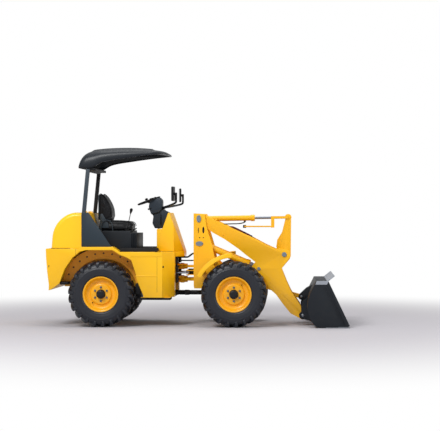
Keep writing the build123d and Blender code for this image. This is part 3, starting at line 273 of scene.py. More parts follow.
cast_engine = moulded("cast_engine", "#5A5B5E", 0.6, 5.0, 0.4)
pin_grey = moulded("pin_grey", "#74808B", 0.45, 3.0, 0.1)
primer_brown = moulded("primer_brown", "#5A1E12", 0.5, 3.0, 0.1)

# %% [markdown]
# ## Bare metals
# The piston rods are ground and plated, so they mirror the room. The bucket's
# edge is worn bare by the ground, with scratches along its length, and the
# bolts are zinc plated.


# %% Bare metals
def metal(name, main, rough, streak_mm, depth):
    material, tree = blank(name)
    place = add(tree, "ShaderNodeTexCoord").outputs["Object"]
    stretch = add(
        tree, "ShaderNodeMapping",
        {"Vector": place, "Scale": (1000.0 / streak_mm, 1000.0 / streak_mm, 60.0)})
    streaks = noise(tree, stretch.outputs[0], 1.0, 3.0)
    surface(tree, streaks, depth, 0.001, Base_Color=colour(main), Metallic=1.0,
            Roughness=remapped(tree, streaks, rough * 0.7, rough * 1.4))
    return material


rod_chrome = metal("rod_chrome", "#9FA3AC", 0.16, 3.0, 0.02)
worn_steel = metal("worn_steel", "#8C9096", 0.4, 5.0, 0.3)
bolt_zinc = metal("bolt_zinc", "#777A7E", 0.45, 2.0, 0.1)
mirror_glass = metal("mirror_glass", "#D5DADF", 0.05, 20.0, 0.0)

# %% [markdown]
# ## What carries over
# Pieces whose solid already has the right shape keep it and get their finish.
# The dictionary below is the paint chart for every solid of the machine.

# %% Finishes on the solids
node_finish = {
    "rear_frame": frame_enamel, "front_frame": frame_enamel, "rear_axle": black_enamel,
    "front_axle": black_enamel, "counterweight": body_enamel, "body_shell": body_enamel,
    "floor_mat": mat_rubber, "bulkhead": body_enamel, "side_covers": cover_plastic,
    "seat_base": base_plastic, "seat": seat_vinyl, "cowl": body_enamel, "dash_column": dash_plastic,
    "steering_wheel": grip_plastic, "controls": grip_plastic, "canopy_posts": post_enamel,
    "canopy_roof": roof_plastic, "mirrors": mirror_shell, "engine_block": cast_engine,
    "rear_hoses": hose_rubber, "front_hoses": hose_rubber, "hood": hood_enamel, "fenders": body_enamel,
    "boom": frame_enamel, "bellcrank": frame_enamel, "bucket": bucket_enamel,
    "cutting_edge": worn_steel, "bucket_link": frame_enamel, "tilt_barrel": frame_enamel,
    "tilt_rod": rod_chrome, "level_indicator": frame_enamel, "lift_barrels": frame_enamel,
    "lift_rods": rod_chrome, "steer_barrel_left": black_enamel, "steer_barrel_right": black_enamel,
    "steer_rod_left": rod_chrome, "steer_rod_right": rod_chrome}
for node, finish in node_finish.items():
    nodes[node].data.materials.clear()
    nodes[node].data.materials.append(finish)
print("finished solids", len(node_finish))

# %% [markdown]
# ## Mesh helpers
# Every new piece is a mesh whose place is in its points. `piece` names it, gives
# it a material and rides it on its body. Smooth shading stops at real corners.


# %% Mesh helpers
flip_y = Matrix.Scale(-1, 4, (0, 1, 0))


def at(*spot):
    return Matrix.Translation(spot)


def spin(degrees, axis):
    return Matrix.Rotation(math.radians(degrees), 4, axis)


def facing_along(heading):
    """The turn that brings the Y axis round to a heading."""
    return Vector((0, 1, 0)).rotation_difference(heading).to_matrix().to_4x4()


def corners(node):
    """The low and high corner of a solid's box."""
    return [Vector(corner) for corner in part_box(node)]


def tidy_mesh(name, shape, corner=35):
    mesh = bpy.data.meshes.new(name)
    shape.to_mesh(mesh)
    shape.free()
    mesh.polygons.foreach_set("use_smooth", [True] * len(mesh.polygons))
    mesh.set_sharp_from_angle(angle=math.radians(corner))
    return mesh


def piece(name, mesh, finish, body, replaces=()):
    obj = linked(name, mesh)
    mesh.name = name
    mesh.materials.clear()
    mesh.materials.append(finish)
    mesh.polygons.foreach_set("material_index", [0] * len(mesh.polygons))
    if body:
        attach(obj, body)
    if replaces:
        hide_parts(*replaces)
    return obj


def joined(*meshes):
    shape = bmesh.new()
    for mesh in meshes:
        shape.from_mesh(mesh)
    return tidy_mesh("joined", shape)


def moved(mesh, matrix):
    copy = mesh.copy()
    copy.transform(matrix)
    if matrix.determinant() < 0:
        copy.flip_normals()
    return copy


def mirrored(*meshes):
    half = joined(*meshes)
    return joined(half, moved(half, flip_y))


def evaluated(obj):
    return bpy.data.meshes.new_from_object(obj.evaluated_get(bpy.context.evaluated_depsgraph_get()))


def baked(obj):
    """The mesh of an object with its modifiers applied; the object itself goes."""
    mesh = evaluated(obj)
    bpy.data.objects.remove(obj)
    return mesh


def bevelled(shape, edges, width, steps, profile=0.5):
    bmesh.ops.bevel(shape, geom=edges, offset=width, segments=steps, profile=profile, affect="EDGES")


def turned(profile, steps=96, place=None):
    """Spins a closed outline of (y, radius) points round the Y axis, then moves it to its place."""
    shape = bmesh.new()
    rings = []
    for step in range(steps):
        angle = 2 * math.pi * step / steps
        rings.append(
            [shape.verts.new((r * math.sin(angle), y, r * math.cos(angle))) for y, r in profile])
    for step in range(steps):
        ring, following = rings[step], rings[(step + 1) % steps]
        for index in range(len(profile)):
            after = (index + 1) % len(profile)
            shape.faces.new((ring[index], ring[after], following[after], following[index]))
    bmesh.ops.remove_doubles(shape, verts=shape.verts, dist=1e-5)
    bmesh.ops.recalc_face_normals(shape, faces=shape.faces)
    mesh = tidy_mesh("turned", shape)
    return moved(mesh, place) if place else mesh


def rounded_box(low, high, width=0.004, steps=2):
    shape = bmesh.new()
    bmesh.ops.create_cube(shape, size=1.0)
    for vert in shape.verts:
        vert.co = Vector(low[i] + (vert.co[i] + 0.5) * (high[i] - low[i]) for i in range(3))
    if width:
        bevelled(shape, shape.edges[:], width, steps)
    return tidy_mesh("block", shape)


def cut_plate(points, y_low, y_high, width=0.003, steps=2):
    """A plate with an outline of (x, z) points, standing from y_low to y_high."""
    shape = bmesh.new()
    face = shape.faces.new([shape.verts.new((x, y_low, z)) for x, z in points])
    grown = bmesh.ops.extrude_face_region(shape, geom=[face])
    for vert in grown["geom"]:
        if isinstance(vert, bmesh.types.BMVert):
            vert.co.y = y_high
    bmesh.ops.recalc_face_normals(shape, faces=shape.faces)
    if width:
        bevelled(shape, shape.edges[:], width, steps)
    return tidy_mesh("plate", shape)


def pipe(points, radius, sides=4, smooth=True):
    """A round pipe along a smooth line through the points given."""
    curve = bpy.data.curves.new("pipe", "CURVE")
    curve.dimensions = "3D"
    curve.bevel_depth = radius
    curve.bevel_resolution = sides
    curve.resolution_u = 12
    curve.use_fill_caps = True
    line = curve.splines.new("NURBS" if smooth else "POLY")
    line.points.add(len(points) - 1)
    for spot, point in zip(line.points, points):
        spot.co = (*point, 1.0)
    if smooth:
        line.order_u = 3
        line.use_endpoint_u = True
    mesh = baked(linked("pipe", curve))
    mesh.set_sharp_from_angle(angle=math.radians(40))
    return mesh


print("helpers ready")

# %% [markdown]
# ## Pieces in a ring or a row
# Lugs, bolts, switches and ribs repeat by a rule, so a small node tree makes them.
# One tree turns copies of a piece round the Y axis, the other sets them in a
# row. Both end in real geometry, because the export drops instances.


# %% Trees that repeat a piece
def repeat_tree(name, inputs):
    tree = bpy.data.node_groups.new(name, "GeometryNodeTree")
    tree.interface.new_socket("Geometry", in_out="INPUT", socket_type="NodeSocketGeometry")
    for label, kind in inputs:
        tree.interface.new_socket(label, in_out="INPUT", socket_type=kind)
    tree.interface.new_socket("Geometry", in_out="OUTPUT", socket_type="NodeSocketGeometry")
    return tree, add(tree, "NodeGroupInput").outputs


def end_tree(tree, instances, given):
    real = add(tree, "GeometryNodeRealizeInstances", {0: instances})
    painted = add(
        tree, "GeometryNodeSetMaterial", {"Geometry": real.outputs[0], "Material": given["Material"]})
    add(tree, "NodeGroupOutput", {0: painted.outputs[0]})
    return tree


ring_of_pieces, given = repeat_tree("ring_of_pieces", (
    ("Count", "NodeSocketInt"), ("Start", "NodeSocketFloat"), ("Step", "NodeSocketFloat"),
    ("Material", "NodeSocketMaterial")))
spots = add(ring_of_pieces, "GeometryNodePoints", {"Count": given["Count"]})
order = add(ring_of_pieces, "GeometryNodeInputIndex")
turn = add(
    ring_of_pieces, "ShaderNodeMath", {0: order.outputs[0], 1: given["Step"], 2: given["Start"]},
    operation="MULTIPLY_ADD")
about = add(ring_of_pieces, "ShaderNodeCombineXYZ", {1: turn.outputs[0]})
facing = add(ring_of_pieces, "FunctionNodeEulerToRotation", {0: about.outputs[0]})
copies = add(ring_of_pieces, "GeometryNodeInstanceOnPoints", {
    "Points": spots.outputs[0], "Instance": given["Geometry"], "Rotation": facing.outputs[0]})
end_tree(ring_of_pieces, copies.outputs[0], given)

row_of_pieces, given = repeat_tree("row_of_pieces", (
    ("Count", "NodeSocketInt"), ("Pitch", "NodeSocketVector"), ("Material", "NodeSocketMaterial")))
spots = add(row_of_pieces, "GeometryNodeMeshLine", {"Count": given["Count"], "Offset": given["Pitch"]})
copies = add(
    row_of_pieces, "GeometryNodeInstanceOnPoints",
    {"Points": spots.outputs[0], "Instance": given["Geometry"]})
end_tree(row_of_pieces, copies.outputs[0], given)


def repeated(mesh, tree, **sizes):
    obj = linked("repeated", mesh)
    modifier = obj.modifiers.new("repeat", "NODES")
    modifier.node_group = tree
    for socket in tree.interface.items_tree:
        if socket.in_out == "INPUT" and socket.name in sizes:
            modifier[socket.identifier] = sizes[socket.name]
    return baked(obj)


print("trees", ring_of_pieces.name, row_of_pieces.name)

# %% [markdown]
# ## Pins and axles
# Many small pieces sit on the machine's pins, so these get their names once. All
# lie on the middle plane, and the steering pivot is a line straight up.

# %% Pins and axles
rear_hub, front_hub = Vector((-1.333, 0, 0.4575)), Vector((0.515, 0, 0.4575))
boom_pin, lever_top = Vector((0.006, 0, 1.504)), Vector((1.268, 0, 1.525))
lift_base, lift_pin = Vector((0.015, 0, 1.153)), Vector((0.8539, 0, 0.8))
lever_pin = Vector((1.2121, 0, 0.9999))
bucket_pin, link_pin = Vector((1.474, 0, 0.144)), Vector((1.459, 0, 0.391))
pivot_x, shaft_z = -0.25, 0.4465
quarter = spin(-90, "Z")
print("wheelbase", round(front_hub.x - rear_hub.x, 3))

# %% [markdown]
# ## Tyres
# A traction tyre has a rounded carcass and two rows of swept bars that run down
# over its shoulders. One bar is lofted from a table of places along its path,
# and the ring tree sets the 22 bars of each row, half a step apart.

# %% Tyre sizes
wheels = {name[5:]: nodes[name] for name in nodes if name.startswith("tyre_")}
low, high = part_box("tyre_rear_right")
tyre_radius = (high[2] - low[2]) / 2
tyre_half = (high[1] - low[1]) / 2
bars_per_row = 22
ring_step = 2 * math.pi / bars_per_row
print("tyre radius", round(tyre_radius, 4), "half width", round(tyre_half, 4))


# %% One tread bar
def tread_bar():
    # across, along the tread, half width at the top and foot, top (y, r), foot (y, r)
    stations = (
        (0.049, 0.014, 0.022, (0.008, 0.4545), (0.006, 0.424)),
        (0.034, 0.016, 0.025, (0.045, 0.4568), (0.045, 0.424)),
        (0.006, 0.018, 0.028, (0.1, 0.457), (0.1, 0.424)),
        (-0.022, 0.02, 0.031, (0.15, 0.4555), (0.148, 0.417)),
        (-0.036, 0.0215, 0.032, (0.178, 0.448), (0.16, 0.408)),
        (-0.042, 0.022, 0.032, (0.1925, 0.433), (0.168, 0.4)),
        (-0.044, 0.021, 0.03, (0.1965, 0.41), (0.174, 0.39)),
        (-0.044, 0.016, 0.025, (0.1955, 0.38), (0.182, 0.372)),
    )
    shape = bmesh.new()
    rings = []
    for shift, top_half, foot_half, top, foot in stations:
        ring = []
        for side, (y, r) in ((-foot_half, foot), (-top_half, top), (top_half, top), (foot_half, foot)):
            angle = (shift + side) / tyre_radius
            ring.append(shape.verts.new((r * math.sin(angle), y, r * math.cos(angle))))
        rings.append(ring)
    for ring, following in zip(rings, rings[1:]):
        for index in range(3):
            shape.faces.new((ring[index], ring[index + 1], following[index + 1], following[index]))
    shape.faces.new(rings[0])
    shape.faces.new(rings[-1])
    bmesh.ops.recalc_face_normals(shape, faces=shape.faces)
    sharp = [
        edge
        for edge in shape.edges if edge.is_manifold and edge.calc_face_angle() > math.radians(40)]
    bevelled(shape, sharp, 0.0045, 2, 0.6)
    return tidy_mesh("tread_bar", shape)


bar = tread_bar()
outer_bars = repeated(
    bar, ring_of_pieces, Count=bars_per_row, Start=0.0, Step=ring_step, Material=tyre_rubber)
inner_bars = repeated(
    moved(bar, flip_y), ring_of_pieces,
    Count=bars_per_row, Start=ring_step / 2, Step=ring_step, Material=tyre_rubber)
print("bars", len(outer_bars.polygons), len(inner_bars.polygons))

# %% [markdown]
# ## Carcass and rims
# The carcass is one outline of wall and tread spun round the axle, with two
# fine moulding rings on the wall. The rim is spun as well: flange, well, dished
# disc and hub seat, as a pressing is.

# %% Carcass
wall_line = (
    (0.168, 0.25), (0.1755, 0.256), (0.1835, 0.268), (0.186, 0.274), (0.185, 0.279), (0.1885, 0.29),
    (0.1925, 0.308), (0.194, 0.327), (0.1935, 0.344), (0.195, 0.35), (0.1925, 0.356), (0.1895, 0.372),
    (0.183, 0.39), (0.174, 0.404), (0.16, 0.415), (0.14, 0.422), (0.1, 0.4265), (0.05, 0.428),
    (0.0, 0.4285),)
bead_line = ((0.152, 0.23), (0.16, 0.242))
half_line = bead_line + wall_line
carcass = turned(half_line + tuple((-y, r) for y, r in half_line[-2::-1]) + ((0.0, 0.23),), 132)
tyre_mesh = joined(carcass, outer_bars, inner_bars)
print("tyre faces", len(tyre_mesh.polygons))

# %% Rims, hubs and wheel bolts
rim_line = (
    (0.15, 0.2285), (0.1535, 0.244), (0.157, 0.2492), (0.161, 0.25), (0.1642, 0.2478), (0.165, 0.242),
    (0.164, 0.233), (0.16, 0.2265), (0.15, 0.2235), (0.132, 0.2215), (0.118, 0.215), (0.106, 0.2085),
    (0.096, 0.198), (0.0905, 0.185), (0.089, 0.172), (0.0905, 0.156), (0.098, 0.147), (0.11, 0.141),
    (0.1142, 0.133), (0.115, 0.12), (0.115, 0.064), (0.075, 0.064), (0.075, 0.205), (0.0, 0.208),
    (-0.145, 0.215), (-0.155, 0.22), (-0.163, 0.23), (-0.165, 0.242), (-0.16, 0.25), (-0.155, 0.244),
    (-0.15, 0.2285), (-0.12, 0.2284), (0.12, 0.2284),)
rim_mesh = turned(rim_line, 120)
hub_mesh = turned((
    (0.09, 0.002), (0.09, 0.0655), (0.116, 0.0655), (0.1185, 0.064), (0.119, 0.057), (0.16, 0.055),
    (0.169, 0.052), (0.174, 0.044), (0.1765, 0.03), (0.177, 0.002)
), 72)
nut_line = (
    (0.112, 0.002), (0.112, 0.0165), (0.1165, 0.0165), (0.118, 0.015), (0.118, 0.0128), (0.131, 0.0118),
    (0.133, 0.009), (0.133, 0.002))
nut = turned(nut_line, 12, at(0, 0, 0.095))
nuts = repeated(nut, ring_of_pieces, Count=6, Start=0.0, Step=math.pi / 3, Material=bolt_zinc)
valve = turned((
    (0.086, 0.001), (0.086, 0.0075), (0.1, 0.0075), (0.104, 0.0045), (0.128, 0.004), (0.129, 0.001)
), 16, spin(40, "Y") @ at(0, 0, 0.168))
for name, node in wheels.items():
    low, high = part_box("tyre_" + name)
    centre = [(low[i] + high[i]) / 2 for i in range(3)]
    flip = Matrix.Identity(4) if centre[1] > 0 else flip_y
    seat = at(*centre) @ flip
    valve_turn = spin({"rear": 185, "front": 0}[name.split("_")[0]], "Y")
    body = "wheel_" + name
    piece("tread_" + name, moved(tyre_mesh, seat), tyre_rubber, body, ["tyre_" + name])
    piece("wheel_disc_" + name, moved(rim_mesh, seat), rim_enamel, body, ["rim_" + name])
    piece("hub_cap_" + name, moved(hub_mesh, seat), black_enamel, body)
    piece("wheel_bolts_" + name, moved(nuts, seat), bolt_zinc, body)
    piece("valve_stem_" + name, moved(valve, seat @ valve_turn), hose_rubber, body)
print("wheels", list(wheels))

# %% [markdown]
# ## Softened edges
# Folded and welded plate never has a razor edge. Each plate piece is a copy of
# its solid, with its flat faces joined again and a small round of two faces on
# every sharp edge, so that the edges catch the light.


# %% Softened edges
def dressed(node, mesh):
    return piece(node + "_skin", mesh, node_finish[node], node_body[node], [node])


def softened(node, width, segments=2, limit=28):
    shape = bmesh.new()
    shape.from_mesh(nodes[node].data)
    bmesh.ops.remove_doubles(shape, verts=shape.verts, dist=0.00005)
    if not width:
        return dressed(node, tidy_mesh(node, shape, corner=30))
    bmesh.ops.dissolve_limit(shape, angle_limit=math.radians(1.0), verts=shape.verts, edges=shape.edges)
    mesh = bpy.data.meshes.new(node)
    shape.to_mesh(mesh)
    shape.free()
    skin = linked(node + "_skin", mesh)
    bevel = skin.modifiers.new("edges", "BEVEL")
    bevel.width = width
    bevel.segments = segments
    bevel.limit_method = "ANGLE"
    bevel.angle_limit = math.radians(limit)
    bevel.harden_normals = True
    mesh.polygons.foreach_set("use_smooth", [True] * len(mesh.polygons))
    return dressed(node, baked(skin))


soft_edges = {
    "counterweight": 0.012, "body_shell": 0.008, "bulkhead": 0.008, "cowl": 0.008, "front_frame": 0.004,
    "rear_frame": 0.004, "boom": 0.005, "bellcrank": 0.004, "bucket": 0.003, "hood": 0,
    "fenders": 0.003, "seat_base": 0.006, "side_covers": 0.004, "dash_column": 0.012,
    "floor_mat": 0.005, "bucket_link": 0.004}
skins = {node: softened(node, width) for node, width in soft_edges.items()}
print("softened", {node: len(skin.data.polygons) for node, skin in skins.items()})

# %% [markdown]
# ## Canopy
# The canopy is one moulded shell with rounded shoulders and a raised centre
# panel. Its outline from the side is a table of shares of the solid's box; each
# station across is a squarish arch, and Solidify gives the wall.

# %% Canopy shell
canopy_low, canopy_high = corners("canopy_roof")
canopy_size = canopy_high - canopy_low
crown_shares = (
    (0.0, 0.2), (0.013, 0.42), (0.053, 0.67), (0.126, 0.83), (0.245, 0.905), (0.42, 0.945),
    (0.577, 0.95), (0.7, 0.93), (0.86, 0.875), (0.96, 0.81), (1.0, 0.76))
brim_shares = (
    (0.0, 0.0), (0.07, 0.0), (0.125, 0.0), (0.175, 0.05), (0.225, 0.18), (0.27, 0.262), (0.363, 0.35),
    (0.526, 0.45), (0.69, 0.545), (0.85, 0.625), (1.0, 0.68))
canopy_length = 0.94 * canopy_size.x


def eased(table, share):
    """A smooth line through a table of (place, height) shares."""
    index = max(i for i in range(len(table) - 1) if i == 0 or table[i][0] <= share)
    (x0, y0), (x1, y1) = table[index], table[index + 1]
    before, after = table[max(index - 1, 0)], table[min(index + 2, len(table) - 1)]
    slope0 = (y1 - before[1]) / (x1 - before[0])
    slope1 = (after[1] - y0) / (after[0] - x0)
    t, run = (share - x0) / (x1 - x0), x1 - x0
    return ((2 * t ** 3 - 3 * t ** 2 + 1) * y0 + (t ** 3 - 2 * t ** 2 + t) * slope0 * run
            + (3 * t ** 2 - 2 * t ** 3) * y1 + (t ** 3 - t ** 2) * slope1 * run)


def ramp(value, start, end):
    t = min(max((value - start) / (end - start), 0.0), 1.0)
    return t * t * (3 - 2 * t)


def canopy_shell(stations=56, arches=44, squareness=4.2, panel_rise=0.014):
    shape = bmesh.new()
    rows = []
    for station in range(stations + 1):
        share = 0.5 - 0.5 * math.cos(math.pi * station / stations)
        top, brim = eased(crown_shares, share), eased(brim_shares, share)
        narrow = 1 - 0.05 * max(0.0, 1 - share / 0.1) ** 2 - 0.09 * max(0.0, (share - 0.85) / 0.15) ** 2
        half = canopy_size.y / 2 * narrow
        row = []
        for arch in range(arches + 1):
            angle = math.pi * arch / arches
            c, s = math.cos(angle), math.sin(angle)
            y = half * math.copysign(abs(c) ** (2 / squareness), c)
            z = brim + max(top - brim, 0.02) * abs(s) ** (2 / squareness)
            panel = ramp(share, 0.125, 0.16) * ramp(0.86, share, share + 0.03)
            lift = panel_rise * panel * ramp(0.66 - abs(y) / half, 0.0, 0.05)
            spot = (canopy_low.x + share * canopy_length, y, canopy_low.z + z * canopy_size.z + lift)
            row.append(shape.verts.new(spot))
        rows.append(row)
    for row, following in zip(rows, rows[1:]):
        for index in range(arches):
            shape.faces.new((row[index], following[index], following[index + 1], row[index + 1]))
    shape.faces.new(rows[0])
    shape.faces.new(rows[-1][::-1])
    bmesh.ops.remove_doubles(shape, verts=shape.verts, dist=1e-5)
    bmesh.ops.recalc_face_normals(shape, faces=shape.faces)
    outward = sum((face.normal.z * face.calc_area() for face in shape.faces), 0.0)
    if outward < 0:
        bmesh.ops.reverse_faces(shape, faces=shape.faces)
    return tidy_mesh("canopy_shell", shape, corner=50)


shell = linked("canopy_shell", canopy_shell())
wall = shell.modifiers.new("wall", "SOLIDIFY")
wall.thickness = 0.02
wall.offset = -1.0
canopy_mesh = baked(shell)
piece("canopy_shell", canopy_mesh, roof_plastic, "rear", ["canopy_roof"])
print("canopy faces", len(canopy_mesh.polygons))

# %% [markdown]
# ## Canopy posts
# Two square tubes lean a little forward from feet on the bulkhead to a black
# tube and plate under the roof. The near one is grey and the far one black, two
# finishes for one mirrored post that are painted light and shade.

# %% Canopy posts
posts_low, posts_high = corners("canopy_posts")
post_foot = Vector((-1.6217, 0, posts_low.z))
post_lean, post_wide = 0.0588, 0.054


def canopy_post(side):
    inner, outer = sorted((side * 0.568, side * (0.568 + post_wide)))
    tube_top = posts_high.z - 0.012
    tube = cut_plate([
        (post_foot.x, posts_low.z), (post_foot.x + post_wide, posts_low.z),
        (post_foot.x + post_wide + post_lean, tube_top), (post_foot.x + post_lean, tube_top)
    ], inner, outer, 0.007, 3)
    foot_y = sorted((side * 0.535, side * 0.632))
    foot = rounded_box(
        (post_foot.x, foot_y[0], posts_low.z), (post_foot.x + 0.081, foot_y[1], posts_low.z + 0.01),
        0.002, 2)
    return joined(tube, foot)


# The near post's grey and the far post's black are painted light and shade on one post shape.
piece("canopy_post_right", canopy_post(-1), post_enamel, "rear", ["canopy_posts"])
piece("canopy_post_left", canopy_post(1), black_enamel, "rear", ["canopy_posts"])
bracket = rounded_box(
    (-1.56, -0.608, posts_high.z - 0.032), (-1.43, 0.608, posts_high.z + 0.004), 0.01, 3)
cross_tube = rounded_box(
    (post_foot.x + 0.056, -0.6, posts_high.z - 0.048), (post_foot.x + 0.106, 0.6, posts_high.z - 0.006),
    0.006, 2)
piece(
    "roof_bracket", joined(bracket, cross_tube), black_trim_and_shade, "rear", ["canopy_posts"])
print("post foot", round(post_foot.x, 4), "lean", post_lean)

# %% [markdown]
# ## Seat
# The seat is two foam pads under black vinyl. Each starts as a slightly small
# block with the pad's outline, is divided evenly, and is then blown up a little
# by a cloth simulation, so that its sides crown as stuffed pads do. Its foot is
# held flat. The welt round each side comes after, because it is narrower than
# the cloth's grid.

# %% Stuffed pads
seat_low, seat_high = corners("seat")
cushion_height = 0.15
cushion_shares = (
    (0.02, 0.02), (0.015, 0.86), (0.1, 0.92), (0.3, 0.945), (0.42, 0.95), (0.6, 0.925), (0.8, 0.875),
    (0.93, 0.8), (0.985, 0.62), (0.99, 0.4), (0.96, 0.12), (0.93, 0.02))
back_shares = (
    (0.03, 0.02), (0.05, 0.5), (0.07, 0.9), (0.11, 0.965), (0.18, 0.98), (0.3, 0.945), (0.52, 0.84),
    (0.74, 0.66), (0.88, 0.5), (0.955, 0.34), (0.96, 0.16), (0.9, 0.02))


def stuffed(outline, half, cap, held_below):
    start = cut_plate(outline, -half, half, width=0.022, steps=3)
    pad = linked("pad", start)
    even = pad.modifiers.new("even", "REMESH")
    even.mode = "VOXEL"
    even.voxel_size = 0.0065
    pad.data = evaluated(pad)
    pad.modifiers.clear()
    rest = [vert.co.copy() for vert in pad.data.vertices]
    pins = pad.vertex_groups.new(name="held")
    pins.add([i for i, co in enumerate(rest) if co.z < held_below], 1.0, "REPLACE")
    cloth = pad.modifiers.new("fill", "CLOTH")
    cloth.settings.quality = 5
    cloth.settings.use_pressure = True
    cloth.settings.uniform_pressure_force = 4.0
    cloth.settings.effector_weights.gravity = 0.0
    cloth.settings.vertex_group_mass = "held"
    for moment in range(1, 21):
        bpy.context.scene.frame_set(moment)
    filled = evaluated(pad)
    for vert, origin in zip(filled.vertices, rest):
        step = vert.co - origin
        vert.co = origin + step * min(1.0, cap / max(step.length, 1e-6))
    pad.modifiers.clear()
    bpy.context.scene.frame_set(1)
    pad.data = filled
    smooth = pad.modifiers.new("smooth", "SUBSURF")
    smooth.levels = smooth.render_levels = 1
    finished = baked(pad)
    finished.polygons.foreach_set("use_smooth", [True] * len(finished.polygons))
    return finished


cushion_line = [(seat_low.x + a * 0.5, seat_low.z + b * cushion_height) for a, b in cushion_shares]
back_foot = seat_low.z + 0.9 * cushion_height
back_line = [
    (seat_low.x + a * 0.193, back_foot + b * (seat_high.z - back_foot))
    for a, b in back_shares]
cushion = piece(
    "seat_cushion", stuffed(cushion_line, 0.232, 0.008, seat_low.z + 0.02), seat_vinyl, "rear",
    ["seat"])
back = piece(
    "seat_back", stuffed(back_line, 0.212, 0.008, back_foot + 0.03), seat_vinyl, "rear",
    ["seat"])
print("pads", len(cushion.data.polygons), len(back.data.polygons))

# %% Welts, shell and slides of the seat
cushion_welt = [(x, 0.222, z + 0.004) for x, z in cushion_line[1:10]]
back_welt = [(x, 0.203, z + 0.002) for x, z in back_line[1:11]]
welts = joined(pipe(cushion_welt, 0.0045, 2), pipe(back_welt, 0.0045, 2))
piece("seat_welts", mirrored(welts), grip_plastic, "rear")
shell_line = [
    (seat_low.x - 0.006, back_foot + 0.02), (seat_low.x - 0.004, seat_high.z - 0.045),
    (seat_low.x + 0.012, seat_high.z - 0.012), (seat_low.x + 0.022, seat_high.z - 0.02),
    (seat_low.x + 0.014, seat_high.z - 0.06), (seat_low.x + 0.012, back_foot + 0.02)]
piece("seat_shell", cut_plate(shell_line, -0.205, 0.205, 0.003), cover_plastic, "rear")
hinge_plate = cut_plate([
    (seat_low.x + 0.02, seat_low.z + 0.04), (seat_low.x + 0.03, back_foot + 0.1),
    (seat_low.x + 0.06, back_foot + 0.11), (seat_low.x + 0.15, seat_low.z + 0.09),
    (seat_low.x + 0.15, seat_low.z + 0.04)
], 0.24, 0.247, 0.002)
hinge_knob = turned((
    (0.246, 0.001), (0.246, 0.026), (0.262, 0.026), (0.268, 0.02), (0.268, 0.001)
), 20, at(seat_low.x + 0.07, 0, back_foot + 0.02))
piece("seat_hinges", mirrored(hinge_plate, hinge_knob), post_enamel, "rear")

# %% [markdown]
# ## Driver's controls
# The steering wheel is a round grip on three flat spokes. The work lever is a
# thin rod with a long moulded knob and a rubber boot, and a bent tube makes the
# small rail at each side of the seat. The park lever is a short bent tube.

# %% Steering wheel
wheel_low, wheel_high = corners("steering_wheel")
wheel_centre = (wheel_low + wheel_high) / 2
wheel_tilt = math.radians(-19.5)
grip_turns = [2 * math.pi * i / 12 for i in range(12)]
grip_outline = [(0.0125 * math.sin(t), 0.1615 + 0.0125 * math.cos(t)) for t in grip_turns]
grip_ring = turned(grip_outline, 72)
spoke = rounded_box((-0.016, -0.004, 0.015), (0.016, 0.004, 0.158), 0.003, 2)
spokes = repeated(
    spoke, ring_of_pieces, Count=3, Start=0.0, Step=2 * math.pi / 3, Material=grip_plastic)
spinner = turned((
    (0.004, 0.001), (0.004, 0.01), (0.022, 0.008), (0.026, 0.019), (0.04, 0.023), (0.052, 0.018),
    (0.058, 0.001)
), 24, at(-0.04, 0, -0.15))
boss = turned((
    (-0.03, 0.001), (-0.03, 0.02), (-0.01, 0.034), (0.008, 0.034), (0.014, 0.026), (0.015, 0.001)
), 40)
steer_seat = at(*wheel_centre) @ Matrix.Rotation(wheel_tilt, 4, "Y") @ spin(90, "X")
steering = moved(joined(grip_ring, spokes, boss, spinner), steer_seat)
piece("steering_grip", steering, grip_plastic, "rear", ["steering_wheel"])
print("steering wheel centre", [round(v, 3) for v in wheel_centre])

# %% Levers and rails
lever_foot = Vector((seat_low.x + 0.42, -0.34, seat_low.z + 0.004))
knob_top = Vector((seat_low.x + 0.485, -0.34, seat_low.z + 0.3))
lean = (knob_top - lever_foot).normalized()
upright = lean.to_track_quat("Y", "Z").to_matrix().to_4x4()
rod = pipe([lever_foot, lever_foot + lean * 0.15, knob_top], 0.0055, 3)
knob = turned((
    (-0.012, 0.001), (-0.01, 0.011), (0.01, 0.016), (0.035, 0.021), (0.052, 0.02), (0.062, 0.012),
    (0.065, 0.001)
), 24, at(*knob_top - lean * 0.045) @ upright)
boot = turned((
    (0.0, 0.001), (0.0, 0.034), (0.008, 0.033), (0.014, 0.026), (0.02, 0.027), (0.026, 0.02),
    (0.032, 0.021), (0.04, 0.012), (0.046, 0.001)
), 24, at(*lever_foot) @ upright)
piece("work_lever", joined(rod, knob, boot), grip_plastic, "rear", ["controls"])
rail_points = [
    (seat_low.x + 0.04, 0.265, seat_low.z), (seat_low.x + 0.04, 0.265, seat_low.z + 0.15),
    (seat_low.x + 0.21, 0.265, seat_low.z + 0.15), (seat_low.x + 0.21, 0.265, seat_low.z)]
piece("side_rails", mirrored(pipe(rail_points, 0.007, 3)), post_enamel, "rear")
park_lever = pipe([(-0.945, -0.4, 1.318), (-0.925, -0.4, 1.335), (-0.872, -0.4, 1.372)], 0.009, 3)
piece("park_lever", park_lever, grip_plastic, "rear")

# %% [markdown]
# ## Mirrors
# Each mirror is a shallow moulded tray with a glass set in its rear face, on a
# bent tube from the dash.

